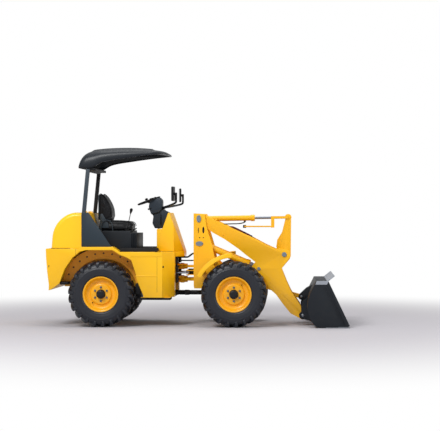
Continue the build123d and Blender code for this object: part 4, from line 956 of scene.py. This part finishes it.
# %% Mirrors
mirror_top = corners("mirrors")[1].z
mirror_x, mirror_y, mirror_z = -0.334, 0.675, mirror_top - 0.103
arm_line = [
    (-0.537, 0.07, mirror_z - 0.188), (-0.47, 0.22, mirror_z - 0.178), (-0.33, 0.64, mirror_z - 0.14),
    (-0.292, 0.675, mirror_z - 0.12), (-0.292, 0.675, mirror_z - 0.085),
    (-0.292, 0.675, mirror_z + 0.012)]
tray = rounded_box(
    (mirror_x - 0.014, mirror_y - 0.069, mirror_z - 0.102),
    (mirror_x + 0.014, mirror_y + 0.069, mirror_z + 0.102), 0.013, 5)
toe_in = at(-0.292, mirror_y, 0) @ spin(9, "Z") @ at(0.292, -mirror_y, 0)
clamp = rounded_box(
    (mirror_x + 0.015, mirror_y - 0.016, mirror_z - 0.02), (-0.28, mirror_y + 0.016, mirror_z + 0.018),
    0.005, 2)
trays = mirrored(moved(joined(tray, clamp), toe_in))
piece("mirror_trays", trays, mirror_shell, "rear", ["mirrors"])
piece("mirror_arms", mirrored(pipe(arm_line, 0.015, 4)), mirror_shell, "rear")
glass = rounded_box(
    (mirror_x - 0.0155, mirror_y - 0.058, mirror_z - 0.09),
    (mirror_x - 0.013, mirror_y + 0.058, mirror_z + 0.09), 0.001, 1)
piece("mirror_glasses", mirrored(moved(glass, toe_in)), mirror_glass, "rear")
print("mirrors at", round(mirror_x, 3), round(mirror_y, 3), round(mirror_z, 3))

# %% [markdown]
# ## Wheel arches and skirts
# Inside each rear arch is a painted inner wall, held by small bolts, with a
# rubber flap in front of the wheel and a black stay behind it. The step under
# each box is covered in black rubber.

# %% Arch walls, flaps, stays and steps
arc = [math.radians(15.7 + (180 - 2 * 15.7) * i / 24) for i in range(25)]
outer_line = [(rear_hub.x + 0.64 * math.cos(a), rear_hub.z + 0.64 * math.sin(a)) for a in arc]
inner_line = [(rear_hub.x + 0.482 * math.cos(a), rear_hub.z + 0.482 * math.sin(a)) for a in arc]
arch_wall = joined(
    cut_plate(outer_line, 0.3265, 0.331, 0.0),
    cut_plate(outer_line + inner_line[::-1], 0.4515, 0.455, 0.0))
# The arch walls are the body's yellow; this more orange copy of the enamel carries painted shade of the
# recessed walls.
arch_wall_shade_enamel = enamel("arch_wall_shade_enamel", "#FFB422", "#FFA818", dust=0.5, rough=0.5)
piece("arch_walls", mirrored(arch_wall), arch_wall_shade_enamel, "rear")
bolt_head = turned((
    (0.455, 0.001), (0.455, 0.012), (0.4575, 0.012), (0.4585, 0.009), (0.464, 0.0085), (0.465, 0.0065),
    (0.465, 0.001)
), 12, at(0, 0, 0.56))
arch_bolts = repeated(
    bolt_head, ring_of_pieces, Count=11, Start=math.radians(-62), Step=math.radians(12.4),
    Material=bolt_zinc)
piece("arch_bolts", mirrored(moved(arch_bolts, at(*rear_hub))), black_enamel, "rear")
flap = rounded_box((-0.862, 0.36, 0.452), (-0.79, 0.672, 0.6), 0.006, 2)
stay = rounded_box((-1.925, 0.43, 0.584), (-1.802, 0.672, 0.622), 0.006, 2)
piece("mud_flaps", mirrored(flap, stay), hose_rubber, "rear")
tread = rounded_box((-0.7865, 0.3975, 0.3725), (-0.3715, 0.6775, 0.406), 0.005, 2)
piece("step_rubbers", mirrored(tread), mat_rubber, "rear")
print("arch bolts", len(arch_bolts.polygons))

# %% [markdown]
# ## Rolled corners of the hood
# A rolled strip closes each side edge of the hood, from its foot over the back
# to the hinge. It follows the same line and two arcs as the hood's side view.

# %% Hood corners
hood_low = corners("hood")[0]
hood_length, hood_rise, hood_half = 0.43, 0.5, 0.6


def arc_on(start, heading, end, count):
    """Points and normals of the arc from start, along heading, to end, and its last heading."""
    inward = Vector((heading.y, -heading.x))
    span = end - start
    radius = span.length_squared / (2 * inward.dot(span))
    centre = start + inward * radius
    first, last = start - centre, end - centre
    turn = -first.angle(last)
    cut = [Matrix.Rotation(turn * i / count, 2) @ first for i in range(count + 1)]
    points = [(centre + spoke, spoke.normalized()) for spoke in cut]
    return points, Vector((last.y, -last.x)).normalized()


foot = Vector((hood_low.x, hood_low.z))
knee = foot + Vector((0.03 * hood_length, 0.32 * hood_rise))
shoulder = foot + Vector((0.5 * hood_length, 0.935 * hood_rise))
crown = foot + Vector((hood_length, hood_rise))
rise = (knee - foot).normalized()
bend, onward = arc_on(knee, rise, shoulder, 28)
roof_line = arc_on(shoulder, onward, crown, 14)[0]
corner_line = [(foot, Vector((-rise.y, rise.x)))] + bend + roof_line[1:]
corner_round, corner_sheet, corner_proud = 0.06, 0.004, 0.0005
print("hood foot", foot, "crown", crown, "normals", corner_line[0][1], corner_line[-1][1])


def hood_corner(steps=10):
    shape = bmesh.new()
    rows = []
    for spot, outward in corner_line:
        middle = spot - outward * corner_round
        row = []
        outer = (corner_round + corner_proud, range(steps + 1))
        inner = (corner_round - corner_sheet, range(steps, -1, -1))
        for radius, order in (outer, inner):
            for i in order:
                angle = math.pi / 2 * i / steps
                place = middle + outward * radius * math.cos(angle)
                y = hood_half - corner_round + radius * math.sin(angle)
                row.append(shape.verts.new((place.x, y, place.y)))
        rows.append(row)
    around = len(rows[0])
    for row, following in zip(rows, rows[1:]):
        for i in range(around):
            shape.faces.new((row[i], row[(i + 1) % around], following[(i + 1) % around], following[i]))
    shape.faces.new(rows[0][::-1])
    shape.faces.new(rows[-1])
    bmesh.ops.recalc_face_normals(shape, faces=shape.faces)
    return tidy_mesh("hood_corner", shape, corner=40)


hood_corners = piece("hood_corners", mirrored(hood_corner()), hood_enamel, "hood")
print("hood corners", len(hood_corners.data.polygons))

# %% [markdown]
# ## Seams, creases and small holes
# Body panels meet in dark seams a few millimetres wide, and pressed creases
# stiffen each box. The seams are thin strips let into the surface that stand half
# a millimetre proud of it, and the creases stand 4 mm proud.

# %% Seams, creases and holes
hood_seam = rounded_box(
    (hood_low.x + 0.002, 0.59, hood_low.z + 0.0005), (hood_low.x + 0.27, 0.6008, hood_low.z + 0.0075), 0
)
piece("hood_seams", mirrored(hood_seam), black_trim_and_shade, "hood")
box_seams = (
    ((-0.587, 0.69, 1.0385), (-0.5, 0.7006, 1.042)), ((-0.587, 0.39, 1.043), (-0.35, 0.4006, 1.0465)),
    ((-1.6975, 0.69, 0.9965), (-1.6945, 0.7006, 1.085)), ((-0.558, 0.69, 0.48), (-0.555, 0.7006, 0.972))
)
panel_seams = [rounded_box(low, high, 0) for low, high in box_seams]
piece("panel_seams", mirrored(*panel_seams), black_trim_and_shade, "rear")
crease = rounded_box((-0.862, 0.688, 0.698), (-0.556, 0.704, 0.714), 0.0038, 3)
skirt_crease = rounded_box((-0.93, 0.688, 0.972), (-0.49, 0.704, 1.038), 0.0038, 3)
piece("box_creases", mirrored(crease, skirt_crease), body_enamel, "rear")


def set_in(x, z, y, radius, depth=0.006, steps=24):
    """A small round part let into a side face at y, standing 1 mm proud."""
    line = (
        (y - depth, 0.0005), (y - depth, radius), (y + 0.0004, radius), (y + 0.0012, radius * 0.85),
        (y + 0.0012, 0.0005))
    return turned(line, steps, at(x, 0, z))


# The small holes are black discs let into the faces: painted shade for the dark inside of each hole.
box_side = skins["body_shell"].closest_point_on_mesh(Vector((-0.385, 0.75, 0.834)))
hole_shade_disc = turned((
    (-0.006, 0.0005), (-0.006, 0.015), (0.0004, 0.015), (0.0012, 0.013), (0.0012, 0.0005)
), 24)
front_hole_shade = moved(hole_shade_disc, at(*box_side[1]) @ facing_along(box_side[2]))
print("plug at", [round(v, 3) for v in box_side[1]], [round(v, 2) for v in box_side[2]])
side_holes = joined(front_hole_shade, set_in(-2.071, 0.834, 0.7, 0.007), set_in(-2.071, 0.85, 0.7, 0.006))
piece("side_hole_shades", mirrored(side_holes), black_trim_and_shade, "rear")
print("seams and plugs done")

# %% [markdown]
# ## Tower plates
# The tower's side plates carry oval pin covers of bare plate, each with two
# bolts, and cable slots lie between them. The slots are drawn as dark inlays,
# painted shade for the dark inside of each slot.

# %% Pin covers and slots of the tower
tower_y = 0.365


def oval(x, z, wide, tall, y_low, y_high, steps=28, width=0.0015):
    turns = [2 * math.pi * i / steps for i in range(steps)]
    points = [(x + wide / 2 * math.cos(t), z + tall / 2 * math.sin(t)) for t in turns]
    return cut_plate(points, y_low, y_high, width, 1)


cover_thick = 0.014
cover_face = tower_y + cover_thick
covers = [oval(pin.x, pin.z, wide, tall, tower_y, cover_face)
          for pin, wide, tall in ((boom_pin, 0.064, 0.104), (lift_base, 0.106, 0.066))]
piece("pin_covers", mirrored(*covers), pin_grey, "front")
bolt_places = ((0.006, 1.54), (0.006, 1.468), (-0.022, 1.153), (0.052, 1.153))
cover_bolts = [set_in(x, z, cover_face, 0.008, 0.002, 12) for x, z in bolt_places]
piece("pin_cover_bolts", mirrored(*cover_bolts), bolt_zinc, "front")
slot_sizes = (
    (-0.001, 1.34, 0.012, 0.085), (0.07, 1.346, 0.03, 0.095), (0.019, 1.237, 0.016, 0.016),
    (0.07, 1.239, 0.016, 0.016))
# Dark inlays in place of the slots: painted shade.
slots_cut = [oval(*size, tower_y - 0.004, tower_y + 0.0008, width=0) for size in slot_sizes]
piece("tower_slots", mirrored(*slots_cut), black_trim_and_shade, "front")
print("tower trims done")

# %% [markdown]
# ## Lines and fittings on the boom
# Steel lines in red-brown primer run along the top of each arm, held by clips.
# Grease nubs, pin heads and hose fittings are small turned parts.

# %% Boom lines
arm_y = 0.285
line_points = [
    (0.395, 1.378), (0.44, 1.395), (0.5, 1.372), (0.64, 1.303), (0.735, 1.257), (0.757, 1.222)]
boom_line = pipe([(x, arm_y - 0.012, z) for x, z in line_points], 0.0095, 3)
second_line = pipe([(x, arm_y - 0.038, z - 0.004) for x, z in line_points], 0.0095, 3)
piece("boom_lines", mirrored(boom_line, second_line), primer_brown, "boom")
clip = rounded_box((-0.01, arm_y - 0.054, -0.016), (0.01, arm_y + 0.001, 0.013), 0.003, 2)
clip_places = ((0.5, 1.366), (0.64, 1.299), (0.735, 1.252))
clips = [moved(clip, at(x, 0, z) @ spin(25, "Y")) for x, z in clip_places]
piece("line_clips", mirrored(*clips), black_enamel, "boom")
arm_face = 0.335
nub_line = (
    (arm_face - 0.004, 0.001), (arm_face - 0.004, 0.013), (arm_face + 0.01, 0.012),
    (arm_face + 0.012, 0.008), (arm_face + 0.012, 0.001))
nubs = [turned(nub_line, 16, at(x, 0, z)) for x, z in ((0.349, 1.28), (0.25, 1.49))]
piece("arm_nubs", mirrored(*nubs), frame_enamel, "boom")


def pin_head(pin, y, radius, flat, proud, steps):
    """The bevelled end of a pin, let 2 mm into the face at y."""
    line = (
        (y - 0.002, 0.001), (y - 0.002, radius), (y + flat, radius), (y + proud, radius - 0.003),
        (y + proud, 0.001))
    return turned(line, steps, at(*pin))


pin_heads = [
    pin_head(pin, arm_face, radius, 0.013, 0.0155, 32)
    for pin, radius in ((lift_pin, 0.0235), (lever_pin, 0.033))]
piece("arm_pin_heads", mirrored(*pin_heads), pin_grey, "boom")
print("boom fittings done")

# %% Cylinder heads and fittings
along = (lever_top - boom_pin).normalized()
gland = turned((
    (-0.055, 0.02), (-0.055, 0.044), (-0.04, 0.044), (-0.04, 0.0465), (-0.004, 0.0465), (0.004, 0.04),
    (0.006, 0.02)
), 48)
gland_place = boom_pin + along * 0.779
piece(
    "tilt_gland", moved(gland, at(*gland_place) @ facing_along(along)), frame_enamel, "tilt_barrel")
port = turned((
    (-0.058, 0.001), (-0.058, 0.012), (-0.05, 0.016), (-0.03, 0.016), (-0.03, 0.001)
), 16, spin(90, "X"))
ports = [moved(port, at(*boom_pin + along * reach)) for reach in (0.15, 0.64)]
piece("tilt_ports", joined(*ports), black_enamel, "tilt_barrel")
feed_table = (
    (0.15, 0, -0.06), (0.23, 0.03, -0.085), (0.42, 0.04, -0.08), (0.6, 0.02, -0.08), (0.64, 0, -0.058))
feed = [boom_pin + along * reach + Vector((0, y, z)) for reach, y, z in feed_table]
piece("tilt_feed_line", pipe(feed, 0.008, 3), hose_rubber, "tilt_barrel")
lift_along = (lift_pin - lift_base).normalized()
lift_gland = turned(
    (
        (-0.05, 0.021), (-0.05, 0.0455), (-0.038, 0.0455), (-0.038, 0.048), (-0.003, 0.048),
        (0.004, 0.042), (0.006, 0.021)),
    48, at(*lift_base + lift_along * 0.755 + Vector((0, 0.24, 0))) @ facing_along(lift_along))
piece("lift_glands", mirrored(lift_gland), frame_enamel, "lift_barrels")
clamp = rounded_box((0.622, -0.0765, 1.374), (0.668, -0.0535, 1.416), 0.004, 2)
piece("indicator_clamp", clamp, black_enamel, "tilt_rod")
print("cylinder fittings done")

# %% [markdown]
# ## Hydraulics at the steering pivot
# A stack of valve blocks hangs behind the pivot and a motor sits in front of
# it. Hoses cross the joint in a slack curve, and a rubber
# gaiter covers the joint of the drive shaft.

# %% Valves, motor and hoses
block_heights = ((0.6, 0.715), (0.745, 0.842), (0.868, 0.968))
stack = [
    rounded_box((-0.345, 0.25, low), (-0.287, 0.333, high), 0.006, 2)
    for low, high in block_heights]
fitting = turned(((0.24, 0.001), (0.24, 0.013), (0.246, 0.016), (0.253, 0.016), (0.253, 0.001)), 14)
fittings = repeated(
    moved(fitting, at(-0.316, 0, 0.63)), row_of_pieces, Count=5, Pitch=(0.0, 0.0, 0.072),
    Material=black_enamel)
piece("valve_blocks", mirrored(*stack, fittings), black_enamel, "rear")
motor_line = (
    (0.0, 0.001), (0.0, 0.034), (0.006, 0.046), (0.02, 0.046), (0.02, 0.041), (0.03, 0.041),
    (0.03, 0.046), (0.05, 0.046), (0.05, 0.041), (0.06, 0.041), (0.06, 0.046), (0.086, 0.046),
    (0.092, 0.05), (0.098, 0.05), (0.098, 0.001))
motor_seat = at(-0.167, 0, 0.744) @ quarter
piece("pivot_motor", turned(motor_line, 40, motor_seat), black_enamel, "front")


def crossing(y, z_rear, z_front, sag, radius):
    z_low = min(z_rear, z_front) - sag
    points = [
        (-0.352, y, z_rear), (-0.3, y, z_rear - 0.004), (-0.24, y * 0.9, z_low),
        (-0.17, y * 0.9, z_low), (-0.105, y, z_front - 0.006), (-0.066, y, z_front)]
    dense = []
    for start, end in zip(points, points[1:]):
        dense.extend(Vector(start).lerp(Vector(end), i / 3) for i in range(3))
    return pipe(dense + [Vector(points[-1])], radius, 4)


thick, thin = (0.958, 1.01, 0.004, 0.011), (0.913, 0.911, 0.006, 0.006)
hoses = [
    crossing(-0.075, *thick), crossing(0.075, *thick), crossing(-0.115, *thin), crossing(0.115, *thin)]
crossing_hoses = piece(
    "crossing_hoses", joined(*hoses), hose_rubber, None, ["rear_hoses", "front_hoses"])
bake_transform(crossing_hoses)
stand = rounded_box((-0.775, -0.05, 0.874), (-0.75, 0.05, 0.97), 0.003, 2)
hose_run = []
for y in (-0.04, 0.04):
    hose_run.append(
        pipe([
            (-0.76, y, 0.955), (-0.6, y, 0.95), (-0.45, y * 1.4, 0.95), (-0.345, y * 1.9, 0.958)
        ], 0.011, 4))
piece("hose_stand", joined(stand, *hose_run), hose_rubber, "rear", ["rear_hoses"])
print("hoses", len(crossing_hoses.data.polygons))

# %% Gaiter on the drive shaft
gaiter_line = [(-0.118, 0.032)]
for ridge in range(9):
    y = -0.11 + ridge * 0.026
    gaiter_line += [(y, 0.0365), (y + 0.013, 0.0315)]
gaiter_line += [(0.132, 0.0325), (0.132, 0.027), (-0.118, 0.027)]
gaiter = turned(gaiter_line, 40, at(pivot_x, 0, shaft_z) @ quarter)
gaiter_piece = piece("shaft_gaiter", gaiter, hose_rubber, None)
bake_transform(gaiter_piece)
rear_sleeve = turned(((-0.1, 0.02), (-0.1, 0.032), (-0.008, 0.032), (0.0, 0.03), (0.0, 0.02)), 40)
rear_sleeve = moved(rear_sleeve, at(-0.362, 0, shaft_z) @ quarter)
piece("rear_shaft_sleeve", rear_sleeve, hose_rubber, "rear")
front_sleeve = turned(((0.0, 0.026), (0.0, 0.031), (0.008, 0.0325), (0.19, 0.0325), (0.19, 0.026)), 40)
front_sleeve = moved(front_sleeve, at(-0.124, 0, shaft_z) @ quarter)
piece("front_shaft_sleeve", front_sleeve, hose_rubber, "front")
print("gaiter", len(gaiter.polygons))

# %% [markdown]
# ## Folded lips of the front fenders
# The outer edge of each front fender is folded down over the tyre's shoulder.

# %% Fender lips
lip_arc = [math.radians(92.6 + 60.8 * i / 20) for i in range(21)]
lip_line = [(front_hub.x + 0.5705 * math.cos(t), front_hub.z + 0.5705 * math.sin(t)) for t in lip_arc]
lip_line += [
    (front_hub.x + 0.51 * math.cos(t), front_hub.z + 0.51 * math.sin(t))
    for t in lip_arc[::-1]]
fender_lip = cut_plate(lip_line, 0.7985, 0.8128, 0.004, 2)
piece("fender_lips", mirrored(fender_lip), body_enamel, "front")
print("lip points", len(lip_line))

# %% [markdown]
# ## Bucket trims
# The lip of the bucket and the guard at its top corner are light grey, a
# painted highlight where they catch the light. Ribs and bars stiffen its sides, pin heads
# show on the ears, and wear shoes lie under the side plates. Bolts hold the edge.

# %% Bucket guard, heads and wear strips
back_x, depth, height = 1.535, 0.58, 0.647
rim_x, rim_z = 0.118 * math.cos(math.radians(43)), 0.118 * math.sin(math.radians(43))
guard = cut_plate([
    (back_x + 0.105, height - 0.048), (back_x + 0.125, height + 0.0005),
    (back_x + 0.2855, height + 0.0005), (back_x + 0.308, height - 0.048)
], 0.8372, 0.8458, 0.001, 1)
side_bar = cut_plate([
    (back_x + 0.262, height - 0.05), (back_x + 0.285, height), (2.114, 0.03), (2.087, 0.03)
], 0.838, 0.8462, 0.0012, 1)
top_strip = cut_plate([
    (back_x + 0.116, height - 0.02), (back_x + 0.122, height + 0.0005),
    (back_x + 0.27, height + 0.0005), (back_x + 0.262, height - 0.02)
], -0.8372, -0.806, 0.0)
side_rib = cut_plate([
    (back_x + 0.225, height - 0.09), (back_x + 0.237, height - 0.09), (2.036, 0.06), (2.024, 0.06)
], 0.838, 0.8475, 0.003, 2)
ear_web = cut_plate([
    (1.45, 0.185), (1.45, 0.3), (1.472, 0.352), (1.56, 0.4), (1.56, 0.12), (1.5, 0.12)
], 0.3475, 0.3625, 0.003, 1)
piece("bucket_ribs", mirrored(side_rib, ear_web), bucket_enamel, "bucket")
piece("bucket_guards", mirrored(guard, top_strip), lip_highlight_enamel, "bucket")
piece("bucket_side_bars", mirrored(side_bar), bucket_enamel, "bucket")
lip_a = (back_x + 0.491 * depth, height)
lip_b = (lip_a[0] + rim_x, height + rim_z)
lip_cap = cut_plate([
    (lip_a[0] - 0.014, height - 0.0125), (lip_b[0] + 0.001, lip_b[1] - 0.013),
    (lip_b[0] - 0.006, lip_b[1] + 0.001), (lip_a[0] - 0.02, height + 0.001)
], -0.8378, 0.8378, 0.0015, 1)
piece("bucket_lip", lip_cap, lip_highlight_enamel, "bucket")
ear_heads = [
    pin_head(pin, y, 0.019, 0.006, 0.008, 28)
    for pin, y in ((bucket_pin, 0.365), (link_pin, 0.06))]
piece("ear_pin_heads", mirrored(*ear_heads), worn_steel, "bucket")
wear = rounded_box((back_x + 0.25, 0.8, 0.0002), (back_x + 0.42, 0.8455, 0.01), 0.002, 1)
piece("wear_shoes", mirrored(wear), worn_steel, "bucket")
bolt_start, bolt_pitch = -0.7, 0.14
edge_bolt = turned(
    ((0.018, 0.001), (0.018, 0.011), (0.0205, 0.009), (0.0215, 0.001)), 16, spin(90, "X"))
edge_bolts = repeated(
    moved(edge_bolt, at(2.01, bolt_start, 0)), row_of_pieces, Count=11, Pitch=(0.0, bolt_pitch, 0.0),
    Material=bolt_zinc)
piece("edge_bolts", edge_bolts, worn_steel, "bucket")
print("bucket trims done")

# %% [markdown]
# ## Dash, mat and lamps
# The dash carries a row of switches and two dials without marks, above a bellows
# round its column. Ribs run over the floor mat, and a red lamp is set in each
# side of the counterweight.

# %% Dash, mat and lamps
switch = rounded_box((-0.01, -0.008, -0.004), (0.01, 0.008, 0.01), 0.002, 2)
dash_face = at(-0.64, -0.08, 1.8085) @ spin(-14, "Y")
switches = repeated(switch, row_of_pieces, Count=6, Pitch=(0.0, 0.032, 0.0), Material=grip_plastic)
piece("dash_switches", moved(switches, dash_face), grip_plastic, "rear")
dial = turned((
    (-0.004, 0.001), (-0.004, 0.034), (0.004, 0.034), (0.006, 0.031), (0.004, 0.028), (0.003, 0.001)
), 32, spin(90, "X"))
dials = joined(*[moved(dial, at(-0.69, y, 1.7965) @ spin(-14, "Y")) for y in (-0.045, 0.045)])
piece("dash_dials", dials, mirror_shell, "rear")
stalk_line = [(-0.625, -0.09, 1.69), (-0.665, -0.115, 1.668), (-0.722, -0.13, 1.642)]
stalk_end = turned((
    (-0.016, 0.001), (-0.014, 0.01), (0.01, 0.012), (0.018, 0.008), (0.02, 0.001)
), 16, at(*stalk_line[-1]) @ spin(60, "Z"))
bellows = []
for k in range(4):
    low, high = (
        -0.668 + 0.004 * k, -0.1, 1.578 + 0.02 * k), (-0.487 - 0.006 * k, 0.1, 1.594 + 0.02 * k)
    bellows.append(rounded_box(low, high, 0.007, 3))
column_post = rounded_box((-0.603, -0.11, 1.094), (-0.588, 0.11, 1.366), 0.004, 2)
shroud_panel = rounded_box((-0.56, -0.1275, 1.42), (-0.552, 0.1275, 1.57), 0.002, 1)
stalk = pipe(stalk_line, 0.0065, 3)
column = joined(column_post, shroud_panel, stalk, stalk_end, *bellows)
piece("column_bellows", column, grip_plastic, "rear")
mat_low, mat_high = corners("floor_mat")
rib = rounded_box(
    (mat_low.x + 0.01, 0.408, mat_high.z - 0.003), (mat_high.x - 0.01, 0.416, mat_high.z + 0.0025),
    0.001, 1)
mat_ribs = repeated(rib, row_of_pieces, Count=13, Pitch=(0.0, 0.02, 0.0), Material=mat_rubber)
piece("mat_ribs", mirrored(mat_ribs), mat_rubber, "rear")
lamp_ring = turned((
    (-0.01, 0.001), (-0.01, 0.046), (0.0016, 0.046), (0.0032, 0.043), (0.0016, 0.039), (0.003, 0.02),
    (0.0034, 0.001)
), 36)
weight_side = skins["counterweight"].closest_point_on_mesh(Vector((-2.3, 0.56, 0.96)))
lamp_seat = at(*weight_side[1]) @ facing_along(weight_side[2])
lamp_red = moulded("lamp_red", "#8E120C", 0.2, 6.0, 0.3, specular=0.6)
piece("rear_lamps", mirrored(moved(lamp_ring, lamp_seat)), lamp_red, "rear")
print("trims done")
